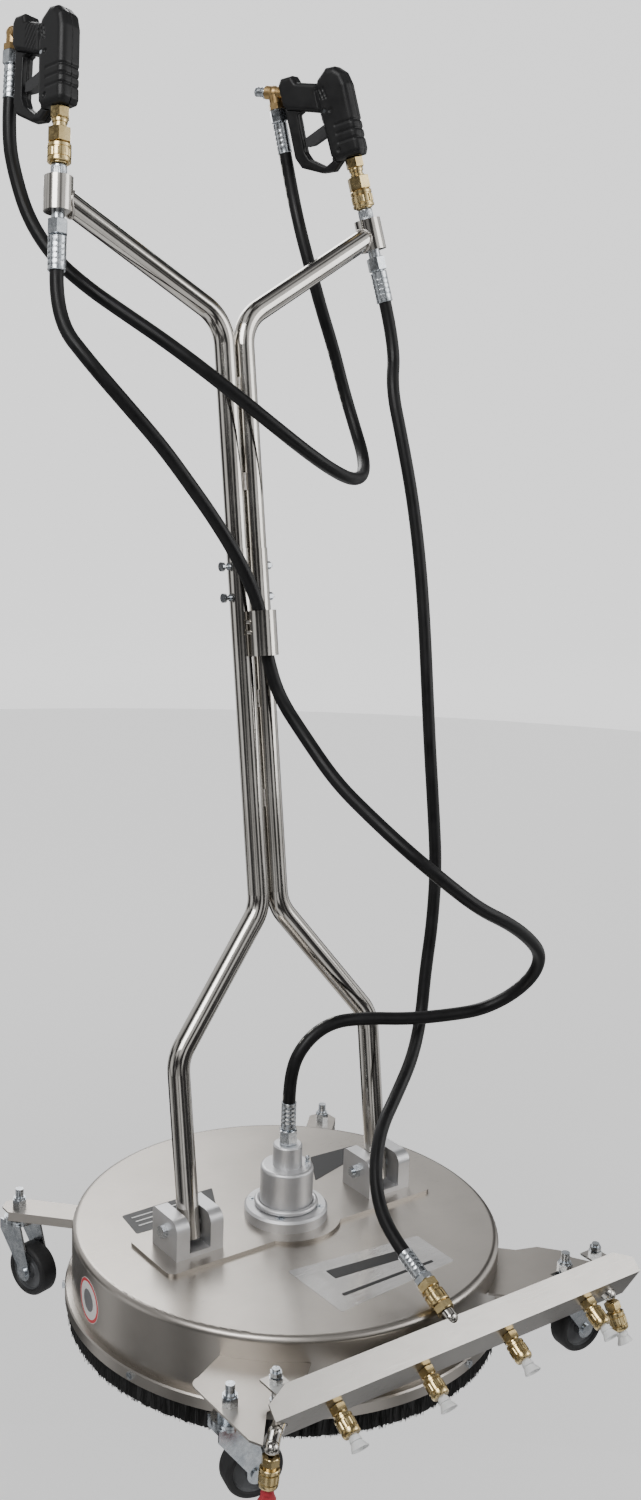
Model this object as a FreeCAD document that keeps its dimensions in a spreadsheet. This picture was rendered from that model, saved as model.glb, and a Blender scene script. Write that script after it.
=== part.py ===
import FreeCAD, Part
import math
import os
import types

# Flat surface cleaner for a pressure washer: a round stainless deck on four swivel castors,
# a spinning spray arm under it, a tall two-tube handle with a trigger gun on each side,
# and a water broom with fan nozzles across the front.
# Origin: on the floor, below the rotor axis.  +Z up, -Y towards the water broom, +X to the right.

V = FreeCAD.Vector
Placement = FreeCAD.Placement
Rotation = FreeCAD.Rotation
X_AXIS, Y_AXIS, Z_AXIS = V(1, 0, 0), V(0, 1, 0), V(0, 0, 1)

DIMENSIONS = (
    # deck
    ("deck_radius", 305.0), ("deck_top", 161.0), ("deck_bottom", 57.0), ("deck_sheet", 2.5),
    ("deck_edge", 9.0), ("band_rise", 5.0), ("band_half_length", 228.0), ("band_half_width", 56.0),
    ("band_bulge", 80.0), ("deck_hole", 24.0), ("rim_radius", 315.0), ("rim_bottom", 53.0),
    ("rim_top", 70.0), ("rim_lip", 297.0), ("brush_inner", 299.0), ("brush_outer", 309.0),
    ("brush_bottom", 22.0),
    # rotor and swivel
    ("flange_radius", 60.0), ("flange_height", 17.0), ("housing_radius", 38.0),
    ("shoulder_height", 243.0), ("neck_radius", 21.0), ("neck_top", 275.0), ("bearing_outer", 20.0),
    ("shaft_radius", 12.5), ("running_gap", 0.05), ("shaft_top", 250.0), ("arm_height", 80.0),
    ("arm_tube_radius", 8.0), ("arm_reach", 256.0),
    # clevises and handle
    ("clevis_offset", 165.6), ("clevis_width", 75.0), ("clevis_slot", 33.5), ("clevis_depth", 64.0),
    ("clevis_top", 222.0), ("clevis_floor", 173.0), ("pivot_height", 197.8), ("pivot_radius", 5.0),
    ("handle_tilt", 8.8), ("leg_radius", 15.5), ("arm_radius", 14.75), ("tube_wall", 1.8),
    ("post_offset", 15.6), ("leg_bend", 231.5), ("post_start", 416.7), ("joint_height", 920.0),
    ("arm_bend", 1231.3), ("bend_radius", 58.0), ("collar_radius", 19.0), ("collar_half", 22.0),
    # castors
    ("castor_x", 281.0), ("castor_front", 282.0), ("castor_rear", 287.0), ("wheel_radius", 38.0),
    ("wheel_half", 15.0), ("castor_trail", 30.0), ("axle_radius", 5.0), ("fork_inner", 17.0),
    ("fork_sheet", 3.0), ("stem_radius", 6.0), ("stem_top", 155.0), ("plate_bottom", 124.0),
    ("plate_top", 127.0),
    # water broom
    ("broom_left", -266.0), ("broom_right", 352.0), ("broom_sheet", 2.5), ("pipe_radius", 10.0),
    # hoses
    ("hose_radius", 9.25), ("ferrule_radius", 12.0),
)


class Size:
    """A number together with the sheet expression that gives it."""

    def __init__(self, value, text):
        self.value = float(value)
        self.text = text

    def __add__(self, other):
        other = size(other)
        return Size(self.value + other.value, f"({self.text} + {other.text})")

    def __sub__(self, other):
        other = size(other)
        return Size(self.value - other.value, f"({self.text} - {other.text})")

    def __rsub__(self, other):
        return size(other) - self

    def __mul__(self, other):
        other = size(other)
        return Size(self.value * other.value, f"({self.text} * {other.text})")

    def __neg__(self):
        return size(0) - self

    __radd__ = __add__
    __rmul__ = __mul__


def size(value):
    return value if isinstance(value, Size) else Size(value, f"({float(value):.6f})")


def number(value):
    return value.value if isinstance(value, Size) else float(value)


doc = FreeCAD.newDocument("surface_cleaner")
sheet = doc.addObject("Spreadsheet::Sheet", "Dims")
D = types.SimpleNamespace()
for row, (alias, value) in enumerate(DIMENSIONS, start=1):
    sheet.set(f"A{row}", alias)
    sheet.set(f"B{row}", str(value))
    sheet.setAlias(f"B{row}", alias)
    setattr(D, alias, Size(value, f"Dims.{alias}"))
doc.recompute()

NODES = []


# ---------------------------------------------------------------- building blocks

def bind(item, name, value):
    """Give a property its number, and tie it to the sheet when the value comes from there."""
    setattr(item, name, number(value))
    if isinstance(value, Size):
        item.setExpression(name, value.text)


def along(axis, at=V(0, 0, 0)):
    """A placement at a point whose z axis lies along the given direction."""
    return Placement(at, Rotation(Z_AXIS, axis))


def cylinder(radius, height, at=V(0, 0, 0), axis=Z_AXIS):
    item = doc.addObject("Part::Cylinder", "Cylinder")
    bind(item, "Radius", radius)
    bind(item, "Height", height)
    item.Placement = along(axis, at)
    return item


def cone(low_radius, high_radius, height, at=V(0, 0, 0), axis=Z_AXIS):
    item = doc.addObject("Part::Cone", "Cone")
    bind(item, "Radius1", low_radius)
    bind(item, "Radius2", high_radius)
    bind(item, "Height", height)
    item.Placement = along(axis, at)
    return item


def ball(radius, at):
    item = doc.addObject("Part::Sphere", "Sphere")
    bind(item, "Radius", radius)
    item.Placement = Placement(at, Rotation())
    return item


def hexagon(across_flats, height, at=V(0, 0, 0), axis=Z_AXIS):
    item = doc.addObject("Part::Prism", "Prism")
    item.Polygon = 6
    bind(item, "Circumradius", number(across_flats) / math.sqrt(3))
    bind(item, "Height", height)
    item.Placement = along(axis, at)
    return item


def box(low, high):
    """A box between two corners, each a triple of sizes or numbers."""
    item = doc.addObject("Part::Box", "Box")
    for name, a, b in zip(("Length", "Width", "Height"), low, high):
        bind(item, name, b - a)
    item.Placement = Placement(V(*(number(a) for a in low)), Rotation())
    return item


def fuse(*items):
    joined = doc.addObject("Part::MultiFuse", "Fusion")
    joined.Shapes = list(items)
    joined.Refine = True
    return joined


def cut(base, *tools):
    result = doc.addObject("Part::Cut", "Cut")
    result.Base = base
    result.Tool = tools[0] if len(tools) == 1 else fuse(*tools)
    return result


def arc_middle(start, end, radius):
    """The point halfway along an arc; a positive radius bulges to the right of the chord."""
    chord = math.dist(start, end)
    sag = abs(radius) - math.sqrt(radius * radius - chord * chord / 4)
    side = math.copysign(sag, radius) / chord
    middle = ((start[0] + end[0]) / 2, (start[1] + end[1]) / 2)
    return (middle[0] + (end[1] - start[1]) * side, middle[1] - (end[0] - start[0]) * side)


def sketch(body, plane, points, lift=None):
    """A closed outline of lines and arcs, every corner tied to the sheet.

    A point is (across, up) or (across, up, radius), where the radius makes the edge
    that leaves the point an arc.
    """
    item = body.newObject("Sketcher::SketchObject", "Sketch")
    origin_plane = next(f for f in body.Origin.OriginFeatures if f.Role == plane)
    item.AttachmentSupport = [(origin_plane, "")]
    item.MapMode = "FlatFace"
    if lift is not None:
        item.AttachmentOffset = Placement(V(0, 0, number(lift)), Rotation())
        if isinstance(lift, Size):
            item.setExpression("AttachmentOffset.Base.z", lift.text)
    corners = [(number(p[0]), number(p[1])) for p in points]
    reversed_arcs = {}
    for i, point in enumerate(points):
        start, end = corners[i], corners[(i + 1) % len(corners)]
        if len(point) == 3:
            middle = arc_middle(start, end, number(point[2]))
            arc = Part.Arc(V(*start, 0), V(*middle, 0), V(*end, 0))
            item.addGeometry(arc, False)
            placed = item.Geometry[i]
            reversed_arcs[i] = (placed.StartPoint - V(*start, 0)).Length > 1e-6
        else:
            item.addGeometry(Part.LineSegment(V(*start, 0), V(*end, 0)), False)
    for i in range(len(points)):
        after = (i + 1) % len(points)
        end_side = 1 if reversed_arcs.get(i) else 2
        start_side = 2 if reversed_arcs.get(after) else 1
        item.addConstraint(_rule("Coincident", i, end_side, after, start_side))
    for i, point in enumerate(points):
        side = 2 if reversed_arcs.get(i) else 1
        for name, value, axis in (("DistanceX", point[0], -2), ("DistanceY", point[1], -1)):
            if abs(number(value)) < 1e-9:
                item.addConstraint(_rule("PointOnObject", i, side, axis))
                continue
            index = item.addConstraint(_rule(name, -1, 1, i, side, number(value)))
            if isinstance(value, Size):
                item.setExpression(f"Constraints[{index}]", value.text)
        if len(point) == 3:
            item.addConstraint(_rule("Radius", i, abs(number(point[2]))))
    return item


def _rule(*terms):
    import Sketcher
    return Sketcher.Constraint(*terms)


def turned(points):
    """A body turned about z from an outline of (radius, height) points."""
    body = doc.addObject("PartDesign::Body", "Body")
    outline = sketch(body, "XZ_Plane", points)
    doc.recompute()
    spin = body.newObject("PartDesign::Revolution", "Revolution")
    spin.Profile = outline
    spin.ReferenceAxis = (outline, ["V_Axis"])
    spin.Angle = 360
    outline.Visibility = False
    return body


def pad(body, outline, length, backwards=False):
    item = body.newObject("PartDesign::Pad", "Pad")
    item.Profile = outline
    bind(item, "Length", length)
    item.Reversed = backwards
    return item


def plate(points, length, plane="XY_Plane", lift=None, backwards=False):
    """A body made by pushing one outline through a thickness."""
    body = doc.addObject("PartDesign::Body", "Body")
    pad(body, sketch(body, plane, points, lift), length, backwards)
    return body


def node(label, item, frame=None):
    """Register a finished sub-part under its own name, moved into its frame."""
    item.Label = label
    if frame is not None:
        item.Placement = frame.multiply(item.Placement)
    NODES.append(item)
    return item


def group(label, items, frame=None):
    """Register several separate pieces of the same kind as one sub-part."""
    item = doc.addObject("Part::Compound", "Compound")
    item.Links = items
    return node(label, item, frame)


def framed(item, frame):
    item.Placement = frame.multiply(item.Placement)
    return item


def path_wire(points, radii):
    """Straight runs joined by tangent arcs: one radius for each inner point."""
    points = [V(*p) for p in points]
    edges = []
    start = points[0]
    for before, corner, after, radius in zip(points, points[1:], points[2:], radii):
        inward = (before - corner).normalize()
        outward = (after - corner).normalize()
        half_turn = (math.pi - inward.getAngle(outward)) / 2
        reach = radius * math.tan(half_turn)
        first, last = corner + inward * reach, corner + outward * reach
        bisector = (inward + outward).normalize()
        middle = corner + bisector * (radius / math.cos(half_turn) - radius)
        edges.append(Part.LineSegment(start, first).toShape())
        edges.append(Part.Arc(first, middle, last).toShape())
        start = last
    edges.append(Part.LineSegment(start, points[-1]).toShape())
    return Part.Wire(edges)


def swept(wire, radius):
    """A round bar along a wire."""
    first = wire.Edges[0]
    start = first.valueAt(first.FirstParameter)
    direction = first.tangentAt(first.FirstParameter)
    ring = Part.Wire([Part.makeCircle(radius, start, direction)])
    return wire.makePipeShell([ring], True, False)


def bent_tube(points, radius, wall, bend):
    """A hollow tube with the same bend radius at every inner point."""
    wire = path_wire(points, [bend] * (len(points) - 2))
    item = doc.addObject("Part::Feature", "Tube")
    item.Shape = swept(wire, radius).cut(swept(wire, radius - wall))
    return item


# ---------------------------------------------------------------- frames

HANDLE = Placement(V(0, 0, number(D.pivot_height)), Rotation(X_AXIS, -number(D.handle_tilt)))
COLLARS = {"left": (-255.7, 1373.0, 6.0), "right": (250.7, 1369.4, -12.4)}
GUN_YAW = {"left": 103.0, "right": 117.0}
GUN_FOOT = 110.0
SIDES = ("left", "right")
SIGN = {"left": -1, "right": 1}


def stack_frame(side):
    """The axis through a collar and its gun: z up, zero at the middle of the collar."""
    across, height, lean = COLLARS[side]
    return HANDLE.multiply(Placement(V(across, 0, height), Rotation(Y_AXIS, lean)))


def gun_frame(side):
    """x along the barrel, y up the grip from its foot, z through the two shells."""
    foot = Placement(V(0, 0, GUN_FOOT), Rotation(Z_AXIS, GUN_YAW[side]))
    return stack_frame(side).multiply(foot).multiply(Placement(V(0, 0, 0), Rotation(X_AXIS, 90)))


# ---------------------------------------------------------------- deck

RIM_SCREWS = 8
RIM_SCREW_HEIGHT = 63.5
HOUSING_SCREW_CIRCLE = 49.0


def rim_directions():
    for i in range(RIM_SCREWS):
        angle = 2 * math.pi * (i + 0.35) / RIM_SCREWS
        yield V(math.cos(angle), math.sin(angle), 0)


def housing_screw_points(height):
    for i in range(4):
        angle = math.pi / 4 + i * math.pi / 2
        yield V(HOUSING_SCREW_CIRCLE * math.cos(angle), HOUSING_SCREW_CIRCLE * math.sin(angle), height)


def rim_screw_holes(radius):
    return [cylinder(radius, 30, d * 290 + V(0, 0, RIM_SCREW_HEIGHT), d) for d in rim_directions()]


def make_deck():
    outer, top, sheet_t, edge = D.deck_radius, D.deck_top, D.deck_sheet, D.deck_edge
    body = turned([
        (outer, D.deck_bottom), (outer, top - edge, edge), (outer - edge, top), (D.deck_hole, top),
        (D.deck_hole, top - sheet_t), (outer - edge, top - sheet_t, -(edge - sheet_t)),
        (outer - sheet_t, top - edge), (outer - sheet_t, D.deck_bottom),
    ])
    half_width, half_length, bulge = D.band_half_width, D.band_half_length, D.band_bulge
    shoulder = math.sqrt(number(bulge) ** 2 - number(half_width) ** 2)
    corner = 12
    outline = [
        (-half_length + corner, -half_width), (-shoulder, -half_width, bulge),
        (shoulder, -half_width), (half_length - corner, -half_width, corner),
        (half_length, -half_width + corner), (half_length, half_width - corner, corner),
        (half_length - corner, half_width), (shoulder, half_width, bulge),
        (-shoulder, half_width), (-half_length + corner, half_width, corner),
        (-half_length, half_width - corner), (-half_length, -half_width + corner, corner),
    ]
    pad(body, sketch(body, "XY_Plane", outline, top - 1), D.band_rise + 1)
    holes = [cylinder(D.deck_hole, 40, V(0, 0, 140))]
    holes += [cylinder(3.1, 40, p) for p in housing_screw_points(140)]
    node("deck_shell", cut(body, *holes, *rim_screw_holes(2.6)))


def make_brush():
    inner = D.deck_radius + 0.05
    ring = turned([
        (inner, D.rim_top), (inner, D.deck_bottom), (D.rim_lip, D.deck_bottom),
        (D.rim_lip, D.rim_bottom), (D.rim_radius, D.rim_bottom), (D.rim_radius, D.rim_top - 2),
        (D.rim_radius - 2, D.rim_top),
    ])
    node("brush_rim", cut(ring, *rim_screw_holes(2.6)))
    node("brush_skirt", turned([
        (D.brush_inner, D.brush_bottom), (D.brush_outer, D.brush_bottom),
        (D.brush_outer, D.rim_bottom), (D.brush_inner, D.rim_bottom),
    ]))
    screws = []
    for d in rim_directions():
        seat = d * (number(D.rim_radius) + 0.02) + V(0, 0, RIM_SCREW_HEIGHT)
        shank = cylinder(2.5, 14, seat - d * 13, d)
        screws.append(fuse(hexagon(10, 4, seat, d), shank))
    group("rim_screws", screws)


def make_swivel():
    base, shoulder, neck = D.deck_top + D.band_rise, D.shoulder_height, D.neck_radius
    flange_top = base + D.flange_height
    bore = D.bearing_outer + 0.02
    housing = turned([
        (D.flange_radius, base), (D.flange_radius, flange_top - 3), (D.flange_radius - 3, flange_top),
        (D.housing_radius + 4, flange_top, -4), (D.housing_radius, flange_top + 4),
        (D.housing_radius, shoulder - 5, 5), (D.housing_radius - 5, shoulder), (neck, shoulder),
        (neck, D.neck_top - 2), (neck - 2, D.neck_top), (8.1, D.neck_top),
        (8.1, D.shaft_top + 4), (bore, D.shaft_top + 4), (bore, base),
    ])
    deep = number(flange_top)
    holes = [cylinder(3.1, 30, p) for p in housing_screw_points(deep - 20)]
    sinks = [cone(3.1, 6.7, 3.6, p) for p in housing_screw_points(deep - 3.6)]
    node("swivel_housing", cut(housing, *holes, *sinks))
    screws = []
    for p in housing_screw_points(0):
        head = cone(3.05, 6.5, 3.4, p + V(0, 0, deep - 3.6))
        socket = hexagon(4, 3, p + V(0, 0, deep - 2.2))
        screws.append(cut(fuse(cylinder(3.0, 30, p + V(0, 0, deep - 33)), head), socket))
    group("housing_screws", screws)
    spot = V(23.7, -16.8, number(shoulder))
    node("grease_nipple", fuse(
        hexagon(8, 5, spot), cylinder(2.6, 6, spot + V(0, 0, 4)), ball(3.4, spot + V(0, 0, 10.5)),
    ))
    inner = D.shaft_radius + D.running_gap
    rings = []
    for low in (base + 5, D.shaft_top - 14):
        rings.append(turned([
            (inner, low), (D.bearing_outer, low), (D.bearing_outer, low + 12), (inner, low + 12),
        ]))
    group("swivel_bearings", rings)


def make_rotor():
    radius, top, level = D.shaft_radius, D.shaft_top, D.arm_height
    tube = D.arm_tube_radius
    collar_top = D.deck_top + D.band_rise + 4.7
    node("rotor_shaft", turned([
        (5, level + tube), (radius, level + tube), (radius, collar_top - 11),
        (radius + 4, collar_top - 11), (radius + 4, collar_top), (radius, collar_top),
        (radius, top), (5, top),
    ]))
    block = cylinder(24, 36, V(0, 0, number(level) - 12))
    shaft_seat = cylinder(radius + 0.02, 40, V(0, 0, number(level + tube)))
    waterway = cylinder(5, 10, V(0, 0, number(level)))
    reach = number(D.arm_reach)
    centre = V(-reach, 0, number(level))
    cross = cylinder(tube + 0.02, 2 * reach, centre, X_AXIS)
    node("rotor_hub", cut(block, shaft_seat, waterway, cross))
    bar = cylinder(tube, D.arm_reach * 2, centre, X_AXIS)
    holders = [hexagon(18, 24, V(s * reach, 0, number(level) - 16)) for s in (-1, 1)]
    passage = cylinder(5, 2 * reach, centre, X_AXIS)
    drops = [cylinder(4, 20, V(s * reach, 0, number(level) - 18)) for s in (-1, 1)]
    feed = cylinder(4, 12, V(0, 0, number(level)))
    node("spray_arm", cut(fuse(bar, *holders), passage, *drops, feed))
    tips = []
    for s in (-1, 1):
        foot = V(s * reach, 0, number(level) - 16)
        slot = box((foot.x - 1, foot.y - 8, foot.z - 14), (foot.x + 1, foot.y + 8, foot.z - 12))
        tips.append(cut(
            fuse(hexagon(13, 8, foot - V(0, 0, 8)), cylinder(5, 6, foot - V(0, 0, 13.5))), slot,
        ))
    group("spray_nozzles", tips)


# ---------------------------------------------------------------- clevises

def make_clevises():
    base = D.deck_top + D.band_rise
    half = D.clevis_depth * 0.5
    middle = number(D.pivot_height)
    blocks, fasteners = [], []
    for side in SIDES:
        sign = SIGN[side]
        centre = sign * number(D.clevis_offset)
        profile = [
            (-half, base), (half, base), (half, D.clevis_top - 6, 6), (half - 6, D.clevis_top),
            (-half + 16, D.clevis_top, 16), (-half, D.clevis_top - 16),
        ]
        ears = plate(profile, D.clevis_width, "YZ_Plane", centre - D.clevis_width * 0.5)
        slot_half = number(D.clevis_slot) / 2
        slot = box((centre - slot_half, -40, number(D.clevis_floor)), (centre + slot_half, 40, 240))
        hole = cylinder(D.pivot_radius + 0.02, 120, V(centre - 60, 0, middle), X_AXIS)
        blocks.append(cut(ears, slot, hole))
        outward = V(sign, 0, 0)
        reach = number(D.clevis_width) / 2
        near = V(centre, 0, middle) - outward * (reach + 12)
        shank = cylinder(D.pivot_radius, 2 * reach + 13, near, outward)
        head = hexagon(17, 7, V(centre, 0, middle) + outward * (reach + 0.02), outward)
        nut = hexagon(17, 8, V(centre, 0, middle) - outward * (reach + 8.02), outward)
        fasteners.append(fuse(shank, head, nut))
    group("handle_clevises", blocks)
    group("pivot_fasteners", fasteners)


# ---------------------------------------------------------------- castors

CASTORS = {
    "front_left": (-1, -1, -12.0), "front_right": (1, -1, -4.0),
    "rear_left": (-1, 1, -75.0), "rear_right": (1, 1, -100.0),
}


def castor_point(name):
    across, along_y, _ = CASTORS[name]
    depth = D.castor_front if along_y < 0 else D.castor_rear
    return V(across * number(D.castor_x), along_y * number(depth), 0)


def deck_cylinder():
    return cylinder(D.deck_radius + 0.05, 80, V(0, 0, 90))


def make_castor_arms():
    low, high = number(D.plate_bottom), number(D.plate_top)
    channels = []
    for name in ("rear_left", "rear_right"):
        point = castor_point(name)
        radial = Placement(V(0, 0, 0), Rotation(Z_AXIS, math.degrees(math.atan2(point.y, point.x))))
        end = point.Length + 24
        half, corner = 22, 14
        top = plate([
            (290, -half), (end - corner, -half), (end, -half + corner), (end, half - corner),
            (end - corner, half), (290, half),
        ], high - low, lift=low)
        hollow = box((280, -half + 3, low - 12), (end + 1, half - 3, low))
        skirt = box((290, -half, low - 11), (end - corner, half, low))
        channel = framed(fuse(top, cut(skirt, hollow)), radial)
        stem = cylinder(D.stem_radius + 0.1, 40, V(point.x, point.y, low - 20))
        channels.append(cut(channel, stem, deck_cylinder()))
    group("castor_arms", channels)
    outlines = {
        "front_left": [
            (-233, -190), (-284, -216, 16), (-299, -232), (-299, -350), (-291, -366), (-252, -318),
            (-205, -318), (-150, -268),
        ],
        "front_right": [
            (238, -180), (150, -268), (205, -318), (334, -318), (334, -290), (316, -262),
            (316, -240, 22), (294, -214), (262, -204),
        ],
    }
    plates = []
    for name, outline in outlines.items():
        if name == "front_right":
            outline = outline[::-1]
            outline = [(x, y) for x, y, *_ in outline]
        flat = plate(outline, high - low, lift=low)
        point = castor_point(name)
        stem = cylinder(D.stem_radius + 0.1, 20, V(point.x, point.y, low - 10))
        slot = box((point.x - 24, point.y - 4, low - 5), (point.x, point.y + 4, high + 5))
        bolt = cylinder(5.1, 20, V(*BROOM_BOLTS[name], low - 10))
        tools = [stem, bolt, deck_cylinder()] + ([slot] if name == "front_right" else [])
        plates.append(cut(flat, *tools))
    group("front_plates", plates)


def make_castors():
    low, high = number(D.plate_bottom), number(D.plate_top)
    fasteners = []
    for name, (_, _, heading) in CASTORS.items():
        point = castor_point(name)
        stem = cylinder(D.stem_radius, D.stem_top - 100.5, point + V(0, 0, 100.5))
        pin_head = cylinder(9, 3.4, point + V(0, 0, 100.5))
        race = cylinder(23, 4, point + V(0, 0, 108))
        washer = cylinder(15, low - 112, point + V(0, 0, 112))
        nut = hexagon(19, 12, point + V(0, 0, high))
        crown = cylinder(8.5, 3, point + V(0, 0, high + 12))
        fasteners.append(fuse(stem, pin_head, race, washer, nut, crown))
        frame = Placement(point, Rotation(Z_AXIS, heading))
        make_fork(name, frame)
        make_wheel(name, frame)
    group("castor_fasteners", fasteners)


def make_fork(name, frame):
    trail, centre = D.castor_trail, D.wheel_radius
    inner, sheet_t = D.fork_inner, D.fork_sheet
    outline = [
        (-21, 107.7), (23, 107.7), (trail + 13, centre + 4), (trail + 13, centre), (trail - 13, centre),
        (trail - 13, centre + 6), (-21, 92),
    ]
    cheeks = []
    for sign in (-1, 1):
        start = inner if sign > 0 else -(inner + sheet_t)
        cheek = plate([(x, z) for x, z in outline], sheet_t, "XZ_Plane", start)
        boss = cylinder(13, sheet_t, V(number(trail), -number(start), number(centre)), -Y_AXIS)
        cheeks.append(fuse(cheek, boss))
    crown = cylinder(23, 3.5, V(0, 0, 104.2))
    half = number(inner + sheet_t)
    axle = cylinder(D.axle_radius, 2 * half, V(number(trail), half, number(centre)), -Y_AXIS)
    rivets = [
        cylinder(8, 3, V(number(trail), s * (half + 1.5) + 1.5, number(centre)), -Y_AXIS)
        for s in (-1, 1)
    ]
    whole = fuse(crown, *cheeks, axle, *rivets)
    bore = cylinder(D.stem_radius + D.running_gap, 20, V(0, 0, 95))
    node(f"castor_fork_{name}", cut(whole, bore), frame)


def make_wheel(name, frame):
    outer, half = D.wheel_radius, D.wheel_half
    bore = D.axle_radius + D.running_gap
    wheel = turned([
        (bore, -half - 1), (11, -half - 1), (12, -7), (27, -7), (29, -half + 3), (outer - 5, -half, 6),
        (outer, -half + 5), (outer, half - 5, 6), (outer - 5, half), (29, half - 3), (27, 7),
        (12, 7), (11, half + 1), (bore, half + 1),
    ])
    hub = Placement(V(number(D.castor_trail), 0, number(outer)), Rotation(X_AXIS, 90))
    node(f"castor_wheel_{name}", wheel, frame.multiply(hub))


# ---------------------------------------------------------------- water broom

BROOM_TOP = (-331.0, 166.0)
BROOM_BEND = (-356.0, 141.0)
BROOM_FOOT = (-328.0, 93.0)
PIPE = (-329.3, 124.0)
PIPE_ENDS = (-236.0, 296.0)
NOZZLE_X = (-166.0, -26.0, 117.0, 263.0)
BROOM_BOLTS = {"front_left": (-231.5, -306.0), "front_right": (314.0, -306.0)}
INLET_X = 27.0
INLET_RISE = math.radians(25)
INLET_AXIS = V(0, math.cos(INLET_RISE), math.sin(INLET_RISE))
INLET_START = V(INLET_X, -327, 163)
LEFT_OUTLET = V(-278, -366, 118)
RIGHT_OUTLET = V(311, -339, 109)


def lower_face_normal():
    across, up = BROOM_FOOT[0] - BROOM_BEND[0], BROOM_FOOT[1] - BROOM_BEND[1]
    return V(0, up, -across).normalize()


SPRAY = lower_face_normal()
LEFT_SPRAY = V(-0.08, 0, -1).normalize()
RIGHT_SPRAY = V(0.1, -0.45, -0.89).normalize()


def offset_in(first, second, third, depth):
    """The corner of a bent sheet's inner face, for the corner of its outer face."""
    a = (V(second[0] - first[0], second[1] - first[1], 0)).normalize()
    b = (V(third[0] - second[0], third[1] - second[1], 0)).normalize()
    normal_a, normal_b = V(a.y, -a.x, 0), V(b.y, -b.x, 0)
    mean = (normal_a + normal_b).normalize()
    move = mean * (-depth / mean.dot(normal_a))
    return (second[0] + move.x, second[1] + move.y)


def pipe_legs():
    """The two ends of each short leg that leads from the pipe to an outer outlet."""
    left_bend = V(-262, -350, 122)
    start, end = PIPE_ENDS
    return (
        (V(start, *PIPE), left_bend), (left_bend, LEFT_OUTLET), (V(end, *PIPE), RIGHT_OUTLET),
    )


def make_broom_cover():
    depth = number(D.broom_sheet)
    top, bend, foot = BROOM_TOP, BROOM_BEND, BROOM_FOOT
    inner_bend = offset_in(top, bend, foot, depth)
    diagonal = depth / math.sqrt(2)
    inner_top = (top[0] + diagonal, top[1] - diagonal)
    inner_foot = (foot[0] - SPRAY.y * depth, foot[1] - SPRAY.z * depth)
    length = D.broom_right - D.broom_left
    cover = plate([top, bend, foot, inner_foot, inner_bend, inner_top], length, "YZ_Plane", D.broom_left)
    tools = []
    face_down = V(0, bend[0] - top[0], bend[1] - top[1]).normalize()
    face_out = V(0, -1, 1).normalize()
    for end, inward in ((number(D.broom_left), 1), (number(D.broom_right), -1)):
        corner = V(end, top[0], top[1])
        points = [corner - face_down * 4, corner + V(30 * inward, 0, 0) - face_down * 4,
                  corner + V(30 * inward, 0, 0), corner + face_down * 15,
                  corner + face_down * 15 - V(4 * inward, 0, 0), corner - face_down * 4 - V(4 * inward, 0, 0)]
        wedge = doc.addObject("Part::Feature", "Wedge")
        outline = Part.makePolygon([p + face_out * 6 for p in points + points[:1]])
        wedge.Shape = Part.Face(outline).extrude(face_out * -14)
        tools.append(wedge)
    for x in NOZZLE_X:
        tools.append(cylinder(9, 30, V(x, *PIPE), SPRAY))
    for foot, tip in pipe_legs():
        span = tip - foot
        tools += [cylinder(9.6, span.Length, foot, span), ball(10.2, foot), ball(10.2, tip)]
    rise = INLET_START - V(INLET_X, *PIPE)
    tools += [cylinder(9.6, rise.Length, V(INLET_X, *PIPE), rise), ball(9.6, INLET_START)]
    trimmed = cut(cover, *tools)
    tabs = []
    for x, y in BROOM_BOLTS.values():
        reach = BROOM_TOP[0] - (BROOM_TOP[1] - 150) + 3.25
        tab = box((x - 14, reach, 150), (x + 14, y + 14, 153))
        tabs.append(cut(tab, cylinder(5.1, 20, V(x, y, 140))))
    node("broom_cover", fuse(trimmed, *tabs))
    bolts = []
    for x, y in BROOM_BOLTS.values():
        bolts.append(fuse(
            cylinder(5, 55, V(x, y, 116)), hexagon(16, 7, V(x, y, 117)), hexagon(16, 7, V(x, y, 153)),
            hexagon(14, 6, V(x, y, 161)), cylinder(7, 3, V(x, y, 127)),
        ))
    group("broom_bolts", bolts)


def make_broom_pipe():
    start, end = PIPE_ENDS
    pipe = cylinder(D.pipe_radius, end - start, V(start, *PIPE), X_AXIS)
    pieces = [pipe, ball(10, V(start, *PIPE)), ball(10, V(end, *PIPE))]
    for foot, tip in pipe_legs():
        span = tip - foot
        pieces.append(cylinder(8.5, span.Length, foot, span))
        pieces.append(ball(9.5, tip))
    for x in NOZZLE_X:
        pieces.append(cylinder(7.5, 14.6, V(x, *PIPE), SPRAY))
    rise = INLET_START - V(INLET_X, *PIPE)
    pieces.append(cylinder(8, rise.Length, V(INLET_X, *PIPE), rise))
    pieces.append(ball(9, INLET_START))
    pieces.append(cylinder(9, 8, INLET_START, INLET_AXIS))
    node("broom_pipe", fuse(*pieces))


def nozzle_seats():
    """The foot and direction of each quick coupler on the broom, the red one first."""
    yield LEFT_OUTLET + LEFT_SPRAY * 9.6, LEFT_SPRAY
    yield RIGHT_OUTLET + RIGHT_SPRAY * 9.6, RIGHT_SPRAY
    for x in NOZZLE_X:
        yield V(x, *PIPE) + SPRAY * 14.8, SPRAY


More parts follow.
